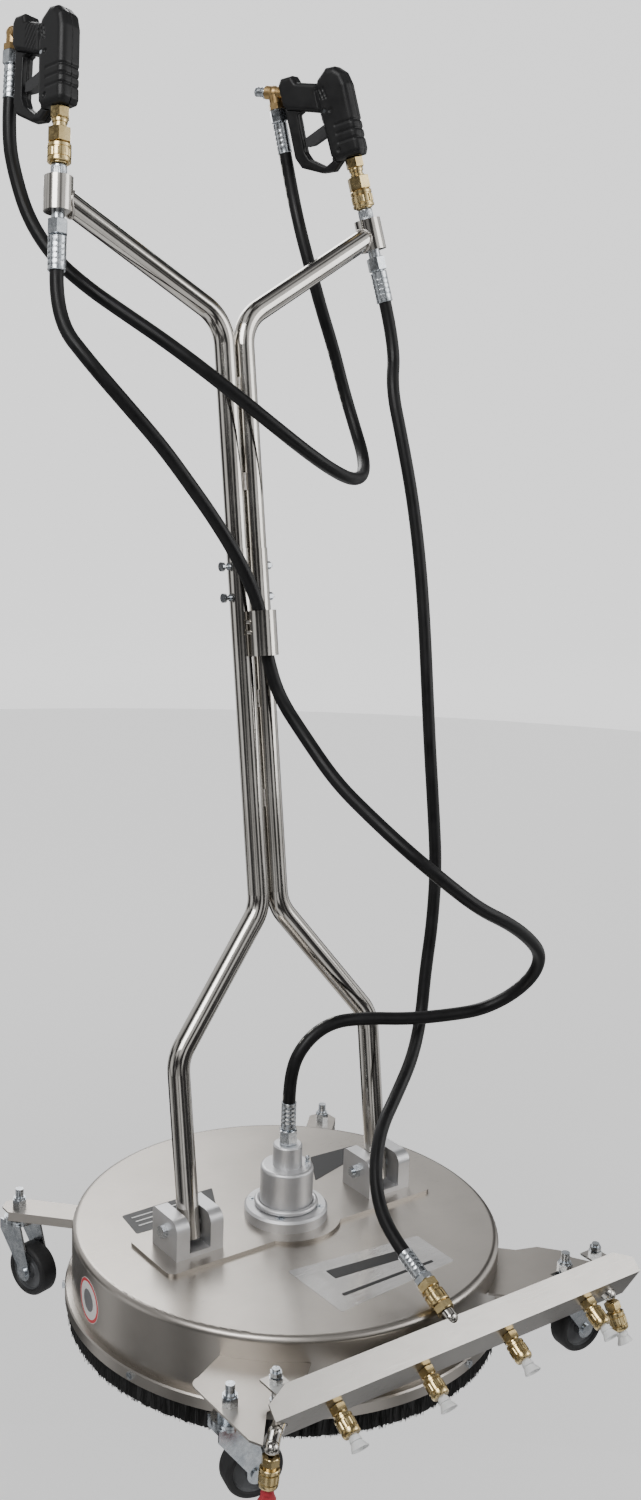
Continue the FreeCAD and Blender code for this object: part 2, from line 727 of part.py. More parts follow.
def make_nozzles():
    sockets, tips = [], []
    for foot, axis in nozzle_seats():
        parts = [
            hexagon(20, 11, foot, axis), cylinder(8.5, 20, foot, axis),
            cylinder(12.5, 22, foot + axis * 14, axis), cone(12.5, 11, 3, foot + axis * 36, axis),
        ]
        sockets.append(cut(fuse(*parts), cylinder(5.6, 20, foot + axis * 24, axis)))
        width = V(1, 0, 0) - axis * axis.x
        turn = Rotation(width, axis.cross(width), axis, "ZXY")
        fan = framed(box((-13, -5.5, 46), (13, 5.5, 57)), Placement(foot, turn))
        stem = cylinder(5.5, 22, foot + axis * 26, axis)
        neck = cone(7, 9, 6, foot + axis * 41, axis)
        tips.append(fuse(stem, neck, fan))
    group("nozzle_sockets", sockets)
    node("nozzle_tip_red", tips[0])
    group("nozzle_tips_white", tips[1:])


def make_broom_inlet():
    def at(distance):
        return INLET_START + INLET_AXIS * distance

    body = fuse(
        hexagon(24, 11, at(9.1), INLET_AXIS), cylinder(12, 28, at(18), INLET_AXIS),
        hexagon(26, 12, at(43), INLET_AXIS),
    )
    node("broom_inlet", body)
    ring = cut(cylinder(14.2, 17, at(21), INLET_AXIS), cylinder(12.05, 19, at(20), INLET_AXIS))
    node("broom_inlet_sleeve", ring)


# ---------------------------------------------------------------- handle

CROSS_BOLTS = (896.0, 853.0)


def handle_tube(points, radius):
    return bent_tube([(x, 0, s) for x, s in points], number(radius), number(D.tube_wall),
                     number(D.bend_radius))


def cross_holes(radius):
    return [cylinder(radius, 140, V(-70, 0, s), X_AXIS) for s in CROSS_BOLTS]


def make_handle():
    post, joint = number(D.post_offset), number(D.joint_height)
    foot = number(D.clevis_offset) - 1.0
    for side in SIDES:
        sign = SIGN[side]
        leg = handle_tube([
            (sign * foot, -18), (sign * foot, number(D.leg_bend)),
            (sign * post, number(D.post_start)), (sign * post, joint),
        ], D.leg_radius)
        pin = cylinder(D.pivot_radius + D.running_gap, 60, V(sign * foot - 30, 0, 0), X_AXIS)
        node(f"leg_{side}", cut(leg, pin, *cross_holes(3.1)), HANDLE)
        across, height, lean = COLLARS[side]
        arm = handle_tube([
            (sign * post, joint + 0.3), (sign * post, number(D.arm_bend)), (across, height),
        ], D.arm_radius)
        clear = Placement(V(across, 0, height), Rotation(Y_AXIS, lean))
        inside = framed(cylinder(D.collar_radius + 0.02, 90, V(0, 0, -45)), clear)
        node(f"arm_{side}", cut(arm, inside), HANDLE)
    spigots = []
    for sign in (-1, 1):
        foot_point = V(sign * post, 0, joint - 80)
        tube = cut(cylinder(D.arm_radius - D.tube_wall - 0.05, 150, foot_point),
                   cylinder(11, 152, foot_point - V(0, 0, 1)))
        spigots.append(cut(tube, *cross_holes(3.1)))
    group("tube_spigots", spigots, HANDLE)
    bolts = []
    for s in CROSS_BOLTS:
        shank = cylinder(3, 84, V(-44, 0, s), X_AXIS)
        head = cylinder(6.5, 4, V(-45, 0, s), X_AXIS)
        washer = cylinder(5, 2, V(-33.2, 0, s), X_AXIS)
        nut = hexagon(10, 6, V(31.3, 0, s), X_AXIS)
        bolts.append(fuse(shank, head, washer, nut))
    group("joint_bolts", bolts, HANDLE)
    centre = V(-4, -34.6, 771)
    sleeve = cylinder(19, 62, centre)
    saddle = box((-9, -20, 771), (1, -14.4, 833))
    screws = [cylinder(3.4, 7, V(-20, -28, s), V(-1, 0.35, 0)) for s in (818, 804)]
    bore = cylinder(17, 64, centre - V(0, 0, 1))
    node("hose_clip", cut(fuse(sleeve, saddle, *screws), bore), HANDLE)


def make_stacks():
    """Collar, nipple and quick coupler on the axis of each gun."""
    collars, nipples, couplers = [], [], []
    half = D.collar_half
    for side in SIDES:
        frame = stack_frame(side)
        ring = cut(cylinder(D.collar_radius, half * 2, V(0, 0, -number(half))),
                   cylinder(8.55, 60, V(0, 0, -30)))
        collars.append(framed(ring, frame))
        nipples.append(framed(turned([
            (4, -31.6), (8.5, -31.6), (8.5, 22.1), (10.5, 22.1), (10.5, 36), (9, 37.5), (7, 37.5),
            (7, 60), (4, 60),
        ]), frame))
        body = fuse(cylinder(12, 27, V(0, 0, 38)), hexagon(28, 19, V(0, 0, 64.5)),
                    cylinder(10, 13, V(0, 0, 83)), hexagon(23, 14.4, V(0, 0, 95.4)))
        bore = cylinder(7.05, 23, V(0, 0, 37.9))
        couplers.append(framed(cut(body, bore), frame))
        sleeve = cut(cylinder(15.7, 23.5, V(0, 0, 40)), cylinder(12.05, 26, V(0, 0, 39)))
        node(f"coupler_sleeve_{side}", sleeve, frame)
    group("handle_collars", collars)
    group("collar_nipples", nipples)
    group("gun_couplers", couplers)


# ---------------------------------------------------------------- trigger guns

BORE_LEVEL = 85.0
BARREL_RISE = math.radians(20)
BARREL = V(math.cos(BARREL_RISE), math.sin(BARREL_RISE), 0)
BARREL_ROOT = V(0, BORE_LEVEL, 0)
PIN_SPOT = (22.0, 71.0)
BRANCH_LEAN = math.radians(3)
BRANCH = V(math.sin(BRANCH_LEAN), -math.cos(BRANCH_LEAN), 0)
ELBOW = BARREL_ROOT + BARREL * 105.4
GUARD_HALF, BARREL_HALF, GRIP_HALF = 9.0, 14.0, 17.0

GUARD_LOOP = (
    (26, 72), (57, 84), (60, 126), (80, 130), (86, 118), (86, 62), (87, 24), (80, 8), (50, -8),
    (30, -11), (15, 0.3), (6, 0.3), (6, 8),
)
GUARD_WINDOW = (
    (32, 73), (58, 83), (67, 80), (68, 58), (69, 28), (64, 16), (42, -1), (29, 4), (29, 28),
)
BARREL_BLOCK = (
    (20, 66), (32, 72), (58, 82), (80, 90), (86, 98), (86, 126), (80, 134), (61, 133), (57, 122),
    (20, 109),
)
GRIP_BLOCK = (
    (-17, 0), (22, 0), (29, 10), (30, 58), (31, 98), (25, 115), (8, 127), (-6, 125), (-17, 114),
    (-21, 97), (-21, 8),
)
GRIP_HOLLOW = ((-17, 4), (22, 4), (26, 12), (27, 94), (21, 111), (6, 122), (-12, 111), (-17, 96))
BARREL_HOLLOW = ((20, 84), (58, 98), (80, 106), (80, 127), (63, 127), (60, 118), (20, 104))


def gun_half(sign):
    """One of the two moulded shells of a gun, front (negative) or back."""
    back = sign < 0
    gap = 0.1 * sign
    body = plate(GUARD_LOOP, GUARD_HALF, lift=gap, backwards=back)
    barrel = plate(BARREL_BLOCK, BARREL_HALF, lift=gap, backwards=back)
    grip = plate(GRIP_BLOCK, GRIP_HALF, lift=gap, backwards=back)
    window = plate(GUARD_WINDOW, 60, lift=-30)
    hollow = plate(GRIP_HOLLOW, 28, lift=-14)
    barrel_hollow = plate(BARREL_HOLLOW, 22, lift=-11)
    foot_hole = cylinder(8.3, 30, V(0, -10, 0), Y_AXIS)
    nose_hole = cylinder(8.3, 40, BARREL_ROOT + BARREL * 74, BARREL)
    slot = box((14, 25, -6.6), (40, 79, 6.6))
    pin = cylinder(2.55, 60, V(*PIN_SPOT, -30))
    solid = cut(fuse(cut(body, window), barrel, grip), hollow, barrel_hollow, foot_hole, nose_hole,
                slot, pin)
    return solid


def make_guns():
    valves, pins = [], []
    for side in SIDES:
        frame = gun_frame(side)
        for half, sign in (("front", -1), ("back", 1)):
            node(f"gun_{side}_shell_{half}", gun_half(sign), frame)
        riser = cylinder(7.5, BORE_LEVEL, V(0, 0, 0), Y_AXIS)
        run = cylinder(5.5, 80, BARREL_ROOT, BARREL)
        nose = cylinder(8, 13.7, BARREL_ROOT + BARREL * 79, BARREL)
        valves.append(framed(fuse(riser, run, nose, ball(10, BARREL_ROOT)), frame))
        pins.append(framed(cylinder(2.5, 32, V(*PIN_SPOT, -16)), frame))
        node(f"trigger_{side}", make_trigger(), frame)
    group("gun_valves", valves)
    group("trigger_pins", pins)


def make_trigger():
    lever = plate([
        (18, 75.5), (26, 75.5), (29, 56), (64, 46), (65, 34), (54, 33), (28, 40), (17, 50),
    ], 12, lift=-6)
    bore = cylinder(2.56, 20, V(*PIN_SPOT, -10))
    return cut(lever, bore)


def hose_tail(start, axis, nut_length, tail_length, radius, nut_size=24):
    """The swivel nut and crimped ferrule at the end of a hose."""
    nut = hexagon(nut_size, nut_length, start, axis)
    neck = cylinder(8, nut_length + 6, start, axis)
    ferrule = cylinder(radius, tail_length, start + axis * (nut_length + 1.5), axis)
    return fuse(nut, neck, ferrule)


def make_fittings():
    fittings, tails = [], []
    for side in SIDES:
        frame = gun_frame(side)
        pieces = [
            cylinder(8, 2.8, BARREL_ROOT + BARREL * 92.8, BARREL),
            cylinder(9, 9.9, BARREL_ROOT + BARREL * 95.5, BARREL), ball(10, ELBOW),
            cylinder(9.5, 23, ELBOW, BRANCH), hexagon(21, 8, ELBOW + BRANCH * 15, BRANCH),
        ]
        if side == "right":
            pieces.append(cylinder(9.5, 13, ELBOW, BARREL))
        fittings.append(framed(fuse(*pieces), frame))
        tails.append(framed(hose_tail(ELBOW + BRANCH * 23.1, BRANCH, 18, 42, 10.5, 22), frame))
        stack_tail = hose_tail(V(0, 0, -31.7), V(0, 0, -1), 19.5, 43.9, number(D.ferrule_radius))
        tails.append(framed(stack_tail, stack_frame(side)))
    group("gun_inlet_fittings", fittings)
    group("hose_fittings", tails)
    plug_start = ELBOW + BARREL * 13.1
    plug = fuse(hexagon(16, 4, plug_start, BARREL), cylinder(7, 17, plug_start, BARREL))
    node("water_inlet_plug", cut(plug, cylinder(4, 30, plug_start, BARREL)), gun_frame("right"))
    neck_top = V(0, 0, number(D.neck_top))
    swivel = hose_tail(neck_top, Z_AXIS, 22, 39.5, 10.75)
    broom = hose_tail(INLET_START + INLET_AXIS * 55.1, INLET_AXIS, 9, 38.4, 11)
    group("deck_hose_fittings", [swivel, broom])


# ---------------------------------------------------------------- hoses

def frame_point(frame, point):
    moved = frame.multVec(V(*point))
    return (moved.x, moved.y, moved.z)


def stack_exit(side, distance):
    return frame_point(stack_frame(side), (0, 0, -96.6 - distance))


def gun_exit(side, distance):
    return frame_point(gun_frame(side), ELBOW + BRANCH * (84.6 + distance))


def broom_exit(distance):
    point = INLET_START + INLET_AXIS * (104 + distance)
    return (point.x, point.y, point.z)


# Each route runs from fitting to fitting, in the order of its points.
HOSE_ROUTES = {
    "hose_swivel": [
        stack_exit("left", 0), stack_exit("left", 60),
        (-243, 143, 1344), (-201, 124, 1294), (-157, 111, 1245), (-119, 103, 1197),
        (-85, 99, 1155), (-54, 97, 1113), (-27, 96, 1071), (-9, 93, 1030), (-4, 88, 995),
        (1, 83, 958), (12, 70, 908), (32, 32, 855), (46, -22, 802), (60, -80, 766),
        (77, -134, 732), (111, -172, 694), (164, -191, 650), (222, -190, 620), (275, -178, 586),
        (317, -162, 550), (332, -137, 509), (320, -107, 471), (285, -81, 446), (235, -66, 443),
        (178, -44, 441), (116, -20, 447), (63, -9, 448), (23, -3, 425), (0, 0, 385), (0, 0, 338),
    ],
    "hose_link": [
        gun_exit("left", 0), gun_exit("left", 48),
        (-262, 322, 1589), (-251, 304, 1533), (-228, 276, 1484), (-196, 242, 1447),
        (-158, 206, 1414), (-121, 170, 1382), (-81, 138, 1347), (-34, 116, 1310), (14, 103, 1275),
        (65, 98, 1242), (119, 106, 1216), (172, 128, 1202), (219, 163, 1207), (250, 203, 1232),
        (258, 238, 1276), (250, 258, 1330), (234, 266, 1390), (213, 272, 1447), (196, 280, 1505),
        (186, 296, 1562),
        gun_exit("right", 52), gun_exit("right", 0),
    ],
    "hose_broom": [
        stack_exit("right", 0), stack_exit("right", 68),
        (264, 162, 1335), (268, 138, 1262), (276, 118, 1180), (279, 98, 1090), (278, 80, 1000),
        (274, 62, 905), (272, 46, 810), (274, 34, 722), (272, 20, 640), (258, 6, 560),
        (240, -4, 488), (226, -16, 426), (194, -38, 376), (140, -68, 340), (92, -96, 316),
        (58, -126, 283), (38, -158, 250),
        broom_exit(40), broom_exit(0),
    ],
}


def hose_shape(points, radius):
    """A round hose whose arcs are as large as their two runs allow."""
    vectors = [V(*p) for p in points]
    radii = []
    for before, corner, after in zip(vectors, vectors[1:], vectors[2:]):
        shorter = min((corner - before).Length, (after - corner).Length)
        half_turn = (math.pi - (before - corner).getAngle(after - corner)) / 2
        radii.append(0.45 * shorter / math.tan(half_turn))
    wire = path_wire(points, radii)
    return swept(wire, radius), wire.Length, radii


def make_hoses():
    radius = number(D.hose_radius)
    for label, points in HOSE_ROUTES.items():
        shape, length, radii = hose_shape(points, radius)
        item = doc.addObject("Part::Feature", "Hose")
        item.Shape = shape
        node(label, item)
        expected = math.pi * radius * radius * length
        print(label, "length", round(length), "volume ratio", round(shape.Volume / expected, 4))
        print("  tightest arcs", [round(r) for r in sorted(radii)[:4]], [round(r) for r in radii])


# ---------------------------------------------------------------- build, check and write

make_deck()
make_brush()
make_swivel()
make_rotor()
make_clevises()
make_castor_arms()
make_castors()
make_broom_cover()
make_broom_pipe()
make_nozzles()
make_broom_inlet()
make_handle()
make_stacks()
make_guns()
make_fittings()
make_hoses()
doc.recompute()

faults = [o.Name for o in doc.Objects if {"Invalid", "Error"} & set(o.State)]
for item in NODES:
    shape = item.Shape
    if shape.isNull() or not shape.isValid() or not shape.Solids:
        faults.append(item.Label)
if faults:
    raise RuntimeError(f"faulty objects: {faults}")
if len({item.Label for item in NODES}) != len(NODES):
    raise RuntimeError("two sub-parts share a name")

os.makedirs("parts", exist_ok=True)
for item in NODES:
    item.Shape.exportStep(os.path.join("parts", f"{item.Label}.step"))
print(len(NODES), "sub-parts written")
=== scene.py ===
"""The looks of a flat surface cleaner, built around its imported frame.

Sizes and places are in millimetres, in the frame of the part that they belong to, unless a comment
says metres. The functions that make meshes turn them into metres.
"""

import math
import random

import bmesh
import bpy
import numpy as np
from mathutils import Matrix, Vector


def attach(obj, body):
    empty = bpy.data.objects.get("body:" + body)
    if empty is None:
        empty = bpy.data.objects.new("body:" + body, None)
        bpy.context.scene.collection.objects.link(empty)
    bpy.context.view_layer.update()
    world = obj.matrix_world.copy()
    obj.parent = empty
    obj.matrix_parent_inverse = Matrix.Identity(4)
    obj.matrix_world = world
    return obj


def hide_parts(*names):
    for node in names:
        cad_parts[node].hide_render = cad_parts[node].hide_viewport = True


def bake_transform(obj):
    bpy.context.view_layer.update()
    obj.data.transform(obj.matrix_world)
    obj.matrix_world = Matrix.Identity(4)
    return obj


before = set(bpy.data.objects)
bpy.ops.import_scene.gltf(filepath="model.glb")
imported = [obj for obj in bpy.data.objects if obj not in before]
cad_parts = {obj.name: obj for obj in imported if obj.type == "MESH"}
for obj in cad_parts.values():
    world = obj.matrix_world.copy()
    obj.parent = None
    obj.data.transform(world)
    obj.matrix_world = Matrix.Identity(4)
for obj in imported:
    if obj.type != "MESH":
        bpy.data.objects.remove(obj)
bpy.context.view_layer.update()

MM = 0.001
SIDES = ("left", "right")
SIGN = {"left": -1, "right": 1}
TAU = 2 * math.pi


def turn(degrees, axis):
    return Matrix.Rotation(math.radians(degrees), 4, axis)


def shift(x, y, z):
    return Matrix.Translation((x * MM, y * MM, z * MM))


# ---------------------------------------------------------------- camera

CAMERA_PLACE = (-1.2099, -1.6453, 1.2682)  # metres
CAMERA_YAW, CAMERA_PITCH, CAMERA_ROLL = 35.31, 11.71, 1.63
SENSOR_WIDTH, FOCAL_LENGTH = 36, 37.05
LENS_SHIFT = (0.0314, 0.0006)


def make_camera():
    data = bpy.data.cameras.new("camera")
    data.sensor_width = SENSOR_WIDTH
    data.lens = FOCAL_LENGTH
    data.shift_x, data.shift_y = LENS_SHIFT
    camera = bpy.data.objects.new("camera", data)
    aim = turn(-CAMERA_YAW, "Z") @ turn(90 - CAMERA_PITCH, "X") @ turn(CAMERA_ROLL, "Z")
    camera.matrix_world = Matrix.Translation(CAMERA_PLACE) @ aim
    bpy.context.collection.objects.link(camera)
    bpy.context.scene.camera = camera


# ---------------------------------------------------------------- frames, as in the CAD

DECK_RADIUS, DECK_TOP = 305.0, 161.0
PIVOT_HEIGHT, HANDLE_TILT = 197.8, 8.8
COLLARS = {"left": (-255.7, 1373.0, 6.0), "right": (250.7, 1369.4, -12.4)}  # across, height, lean
GUN_YAW = {"left": 103.0, "right": 117.0}
GUN_FOOT, BORE_LEVEL = 110.0, 85.0
ELBOW_REACH, BRANCH_LENGTH = 105.4, 84.6
STACK_DROP = 96.6
BARREL_RISE, BRANCH_LEAN = math.radians(20), math.radians(3)
BARREL = Vector((math.cos(BARREL_RISE), math.sin(BARREL_RISE), 0))
BRANCH = Vector((math.sin(BRANCH_LEAN), -math.cos(BRANCH_LEAN), 0))
ELBOW = Vector((0, BORE_LEVEL, 0)) + BARREL * ELBOW_REACH
HANDLE = shift(0, 0, PIVOT_HEIGHT) @ turn(-HANDLE_TILT, "X")


def stack_frame(side):
    """The middle of a collar, with z up along its fittings."""
    across, height, lean = COLLARS[side]
    return HANDLE @ shift(across, 0, height) @ turn(lean, "Y")


def gun_frame(side):
    """The foot of a gun's grip, with x along its barrel, y up and z across."""
    return stack_frame(side) @ shift(0, 0, GUN_FOOT) @ turn(GUN_YAW[side], "Z") @ turn(90, "X")


def facing(point, axis):
    """A frame at a point, with z along the axis."""
    spin = Vector((0, 0, 1)).rotation_difference(Vector(axis)).to_matrix().to_4x4()
    return shift(*point) @ spin


def place(frame_matrix, point):
    """A point of a frame, in metres."""
    return tuple(frame_matrix @ (Vector(point) * MM))


# ---------------------------------------------------------------- hoses

HOSE_RADIUS = 9.25
INLET_RISE = math.radians(25)
INLET_AXIS = Vector((0, math.cos(INLET_RISE), math.sin(INLET_RISE)))
INLET_START = Vector((27, -327, 163))
INLET_EXIT = 104


def stack_exit(side, distance):
    """A point below the hose end under a collar."""
    return place(stack_frame(side), (0, 0, -STACK_DROP - distance))


def gun_exit(side, distance):
    """A point below the hose end at a gun."""
    return place(gun_frame(side), ELBOW + BRANCH * (BRANCH_LENGTH + distance))


def metres(points):
    return [tuple(c * MM for c in p) for p in points]


HOSE_ROUTES = {
    "hose_swivel": [
        stack_exit("left", 0), stack_exit("left", 60),
        *metres([
            (-243, 143, 1344), (-201, 124, 1294), (-157, 111, 1245), (-119, 103, 1197),
            (-85, 99, 1155), (-54, 97, 1113), (-27, 96, 1071), (-9, 93, 1030), (-4, 88, 995),
            (1, 83, 958), (12, 70, 908), (32, 32, 855), (46, -22, 802), (60, -80, 766),
            (77, -134, 732), (111, -172, 694), (164, -191, 650), (222, -190, 620),
            (275, -178, 586), (317, -162, 550), (332, -137, 509), (320, -107, 471),
            (285, -81, 446), (235, -66, 443), (178, -44, 441), (116, -20, 447), (63, -9, 448),
            (23, -3, 425), (0, 0, 385), (0, 0, 338),
        ]),
    ],
    "hose_link": [
        gun_exit("left", 0), gun_exit("left", 48),
        *metres([
            (-262, 322, 1589), (-251, 304, 1533), (-228, 276, 1484), (-196, 242, 1447),
            (-158, 206, 1414), (-121, 170, 1382), (-81, 138, 1347), (-34, 116, 1310),
            (14, 103, 1275), (65, 98, 1242), (119, 106, 1216), (172, 128, 1202),
            (219, 163, 1207), (250, 203, 1232), (258, 238, 1276), (250, 258, 1330),
            (234, 266, 1390), (213, 272, 1447), (196, 280, 1505), (186, 296, 1562),
        ]),
        gun_exit("right", 52), gun_exit("right", 0),
    ],
    "hose_broom": [
        stack_exit("right", 0), stack_exit("right", 68),
        *metres([
            (264, 162, 1335), (268, 138, 1262), (276, 118, 1180), (279, 98, 1090),
            (278, 80, 1000), (274, 62, 905), (272, 46, 810), (274, 34, 722), (272, 20, 640),
            (258, 6, 560), (240, -4, 488), (226, -16, 426), (194, -38, 376), (140, -68, 340),
            (92, -96, 316), (58, -126, 283), (38, -158, 250),
            tuple(INLET_START + INLET_AXIS * (INLET_EXIT + 40)),
            tuple(INLET_START + INLET_AXIS * INLET_EXIT),
        ]),
    ],
}


def smooth_line(points):
    """The points along the smooth curve that a route controls."""
    curve = bpy.data.curves.new("route", "CURVE")
    curve.dimensions = "3D"
    curve.resolution_u = 8
    spline = curve.splines.new("NURBS")
    spline.points.add(len(points) - 1)
    for knot, point in zip(spline.points, points):
        knot.co = (*point, 1)
    spline.order_u = 3
    spline.use_endpoint_u = True
    route = bpy.data.objects.new("route", curve)
    bpy.context.collection.objects.link(route)
    bpy.context.view_layer.update()
    line = bpy.data.meshes.new_from_object(route)
    path = [v.co.copy() for v in line.vertices]
    bpy.data.meshes.remove(line)
    bpy.data.objects.remove(route)
    return path


def band(low, high, count):
    """The faces between two rings of vertices, which start at low and at high."""
    return [(low + k, low + (k + 1) % count, high + (k + 1) % count, high + k)
            for k in range(count)]


def sweep(path, radius_at, segments, closed=False):
    """Vertices, faces and corner UVs (turns, metres) of a tube along a path."""
    count = len(path)
    tangents = []
    for i in range(count):
        ahead = path[(i + 1) % count] if closed else path[min(i + 1, count - 1)]
        behind = path[i - 1] if closed else path[max(i - 1, 0)]
        tangents.append((ahead - behind).normalized())
    normal = tangents[0].orthogonal().normalized()
    verts, along, run = [], [], 0.0
    for i, (point, tangent) in enumerate(zip(path, tangents)):
        if i:
            run += (point - path[i - 1]).length
            normal = (normal - tangent * normal.dot(tangent)).normalized()
        side = tangent.cross(normal)
        along.append(run)
        for k in range(segments):
            angle = TAU * k / segments
            radius = radius_at(run, angle)
            verts.append(point + (normal * math.cos(angle) + side * math.sin(angle)) * radius)
    faces, uvs = [], []
    for i in range(count if closed else count - 1):
        j = (i + 1) % count
        faces += band(i * segments, j * segments, segments)
        far = along[j] if j else run
        for k in range(segments):
            uvs += [(k / segments, along[i]), ((k + 1) / segments, along[i]),
                    ((k + 1) / segments, far), (k / segments, far)]
    if not closed:
        last = (count - 1) * segments
        faces.append(tuple(reversed(range(segments))))
        faces.append(tuple(range(last, last + segments)))
        uvs += [(0, 0)] * (2 * segments)
    return verts, faces, uvs


def build(name, verts, faces, uvs=None, smooth_angle=35):
    """A mesh object whose normals point outward, smooth except over sharp edges."""
    mesh = bpy.data.meshes.new(name)
    mesh.from_pydata([tuple(v) for v in verts], [], faces)
    if uvs:
        layer = mesh.uv_layers.new(name="UVMap")
        for loop, uv in zip(layer.data, uvs):
            loop.uv = uv
    work = bmesh.new()
    work.from_mesh(mesh)
    bmesh.ops.recalc_face_normals(work, faces=work.faces)
    work.to_mesh(mesh)
    work.free()
    mesh.shade_smooth()
    mesh.set_sharp_from_angle(angle=math.radians(smooth_angle))
    piece = bpy.data.objects.new(name, mesh)
    bpy.context.collection.objects.link(piece)
    return piece


def finished(piece, body, material, slot, *nodes):
    """Gives a piece its material and body, and hides the CAD nodes it stands for."""
    piece.data.materials.append(material)
    if body:
        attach(piece, body)
    if nodes:
        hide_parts(*nodes)
    return piece


def make_hoses():
    radius = HOSE_RADIUS * MM
    for name, points in HOSE_ROUTES.items():
        path = smooth_line(points)
        verts, faces, uvs = sweep(path, lambda run, angle: radius, 32)
        piece = build(name + "_rubber", verts, faces, uvs)
        finished(piece, "handle" if name == "hose_link" else None, RUBBER, "hose_rubber", name)
        if name == "hose_swivel":
            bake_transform(piece)
        if name == "hose_broom":
            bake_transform(piece)
        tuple(points[0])


# ---------------------------------------------------------------- materials

class Nodes:
    """A material's node tree, with short ways to add what it needs."""

    def __init__(self, name, color, metallic, roughness, **inputs):
        self.material = bpy.data.materials.new(name)
        self.material.use_nodes = True
        self.tree = self.material.node_tree
        self.shader = self.tree.nodes["Principled BSDF"]
        self.material.diffuse_color = (*color, 1)
        for label, value in {"Metallic": metallic, "Roughness": roughness, **inputs}.items():
            self.shader.inputs[label].default_value = value
        self.shader.inputs["Base Color"].default_value = (*color, 1)
        self.coords = self.tree.nodes.new("ShaderNodeTexCoord")

    def link(self, source, target):
        self.tree.links.new(source, target)

    def noise(self, scale, stretch=(1, 1, 1), detail=4.0, rough=0.5):
        mapping = self.tree.nodes.new("ShaderNodeMapping")
        mapping.inputs["Scale"].default_value = stretch
        self.link(self.coords.outputs["Object"], mapping.inputs["Vector"])
        noise = self.tree.nodes.new("ShaderNodeTexNoise")
        noise.inputs["Scale"].default_value = scale
        noise.inputs["Detail"].default_value = detail
        noise.inputs["Roughness"].default_value = rough
        self.link(mapping.outputs["Vector"], noise.inputs["Vector"])
        return noise.outputs["Fac"]

    def spread(self, value, low, high, start=0.3, end=0.7):
        """Maps a value that lies between start and end onto low to high."""
        node = self.tree.nodes.new("ShaderNodeMapRange")
        ends = {"From Min": start, "From Max": end, "To Min": low, "To Max": high}
        for label, number in ends.items():
            node.inputs[label].default_value = number
        self.link(value, node.inputs["Value"])
        return node.outputs["Result"]

    def math(self, operation, a, b=0.0):
        node = self.tree.nodes.new("ShaderNodeMath")
        node.operation = operation
        for socket, value in zip(node.inputs, (a, b)):
            if isinstance(value, (int, float)):
                socket.default_value = value
            else:
                self.link(value, socket)
        return node.outputs["Value"]

    def mix(self, factor, first, second):
        """A colour between two, each a triple or a socket."""
        node = self.tree.nodes.new("ShaderNodeMix")
        node.data_type = "RGBA"
        self.link(factor, node.inputs["Factor"])
        colours = [s for s in node.inputs if s.type == "RGBA"]
        for socket, value in zip(colours, (first, second)):
            if isinstance(value, tuple):
                socket.default_value = (*value, 1)
            else:
                self.link(value, socket)
        return next(s for s in node.outputs if s.type == "RGBA")

    def color(self, socket):
        self.link(socket, self.shader.inputs["Base Color"])

    def rough(self, socket):
        self.link(socket, self.shader.inputs["Roughness"])

    def bump(self, height, distance, strength=0.4):
        node = self.tree.nodes.new("ShaderNodeBump")
        node.inputs["Distance"].default_value = distance
        node.inputs["Strength"].default_value = strength
        self.link(height, node.inputs["Height"])
        self.link(node.outputs["Normal"], self.shader.inputs["Normal"])


def metal(name, dark, light, low, high, grain, depth, cloud, stretch=(1, 1, 1)):
    """A metal with grain at one scale and slow clouds of tone at another.

    Its roughness lies between low and high, and its grain is depth metres deep.
    """
    nodes = Nodes(name, light, 1.0, (low + high) / 2)
    fine = nodes.noise(grain, stretch, detail=3)
    slow = nodes.noise(cloud, detail=5, rough=0.6)
    nodes.color(nodes.mix(nodes.spread(slow, 0, 1), dark, light))
    both = nodes.math("ADD", nodes.math("MULTIPLY", fine, 0.6), nodes.math("MULTIPLY", slow, 0.4))
    nodes.rough(nodes.spread(both, low, high))
    nodes.bump(fine, depth)
    return nodes.material


def plastic(name, dark, light, low, high, grain, depth=0.00004, **inputs):
    """A moulded plastic or rubber with a fine grain and faint handling marks."""
    nodes = Nodes(name, light, 0.0, (low + high) / 2, **inputs)
    fine = nodes.noise(grain, detail=2)
    slow = nodes.noise(35, detail=6, rough=0.65)
    nodes.color(nodes.mix(nodes.spread(slow, 0, 1), dark, light))
    nodes.rough(nodes.spread(slow, low, high))
    nodes.bump(fine, depth)
    return nodes.material


WRAP_RATE, CLOTH_RATE = 2600, 190  # radians per metre along the hose, and per turn around it
DASHES_PER_METRE, DASH_SHARE = 62, 0.55
PRINT_PLACE, PRINT_HALF = 0.45, 0.028  # in turns around the hose


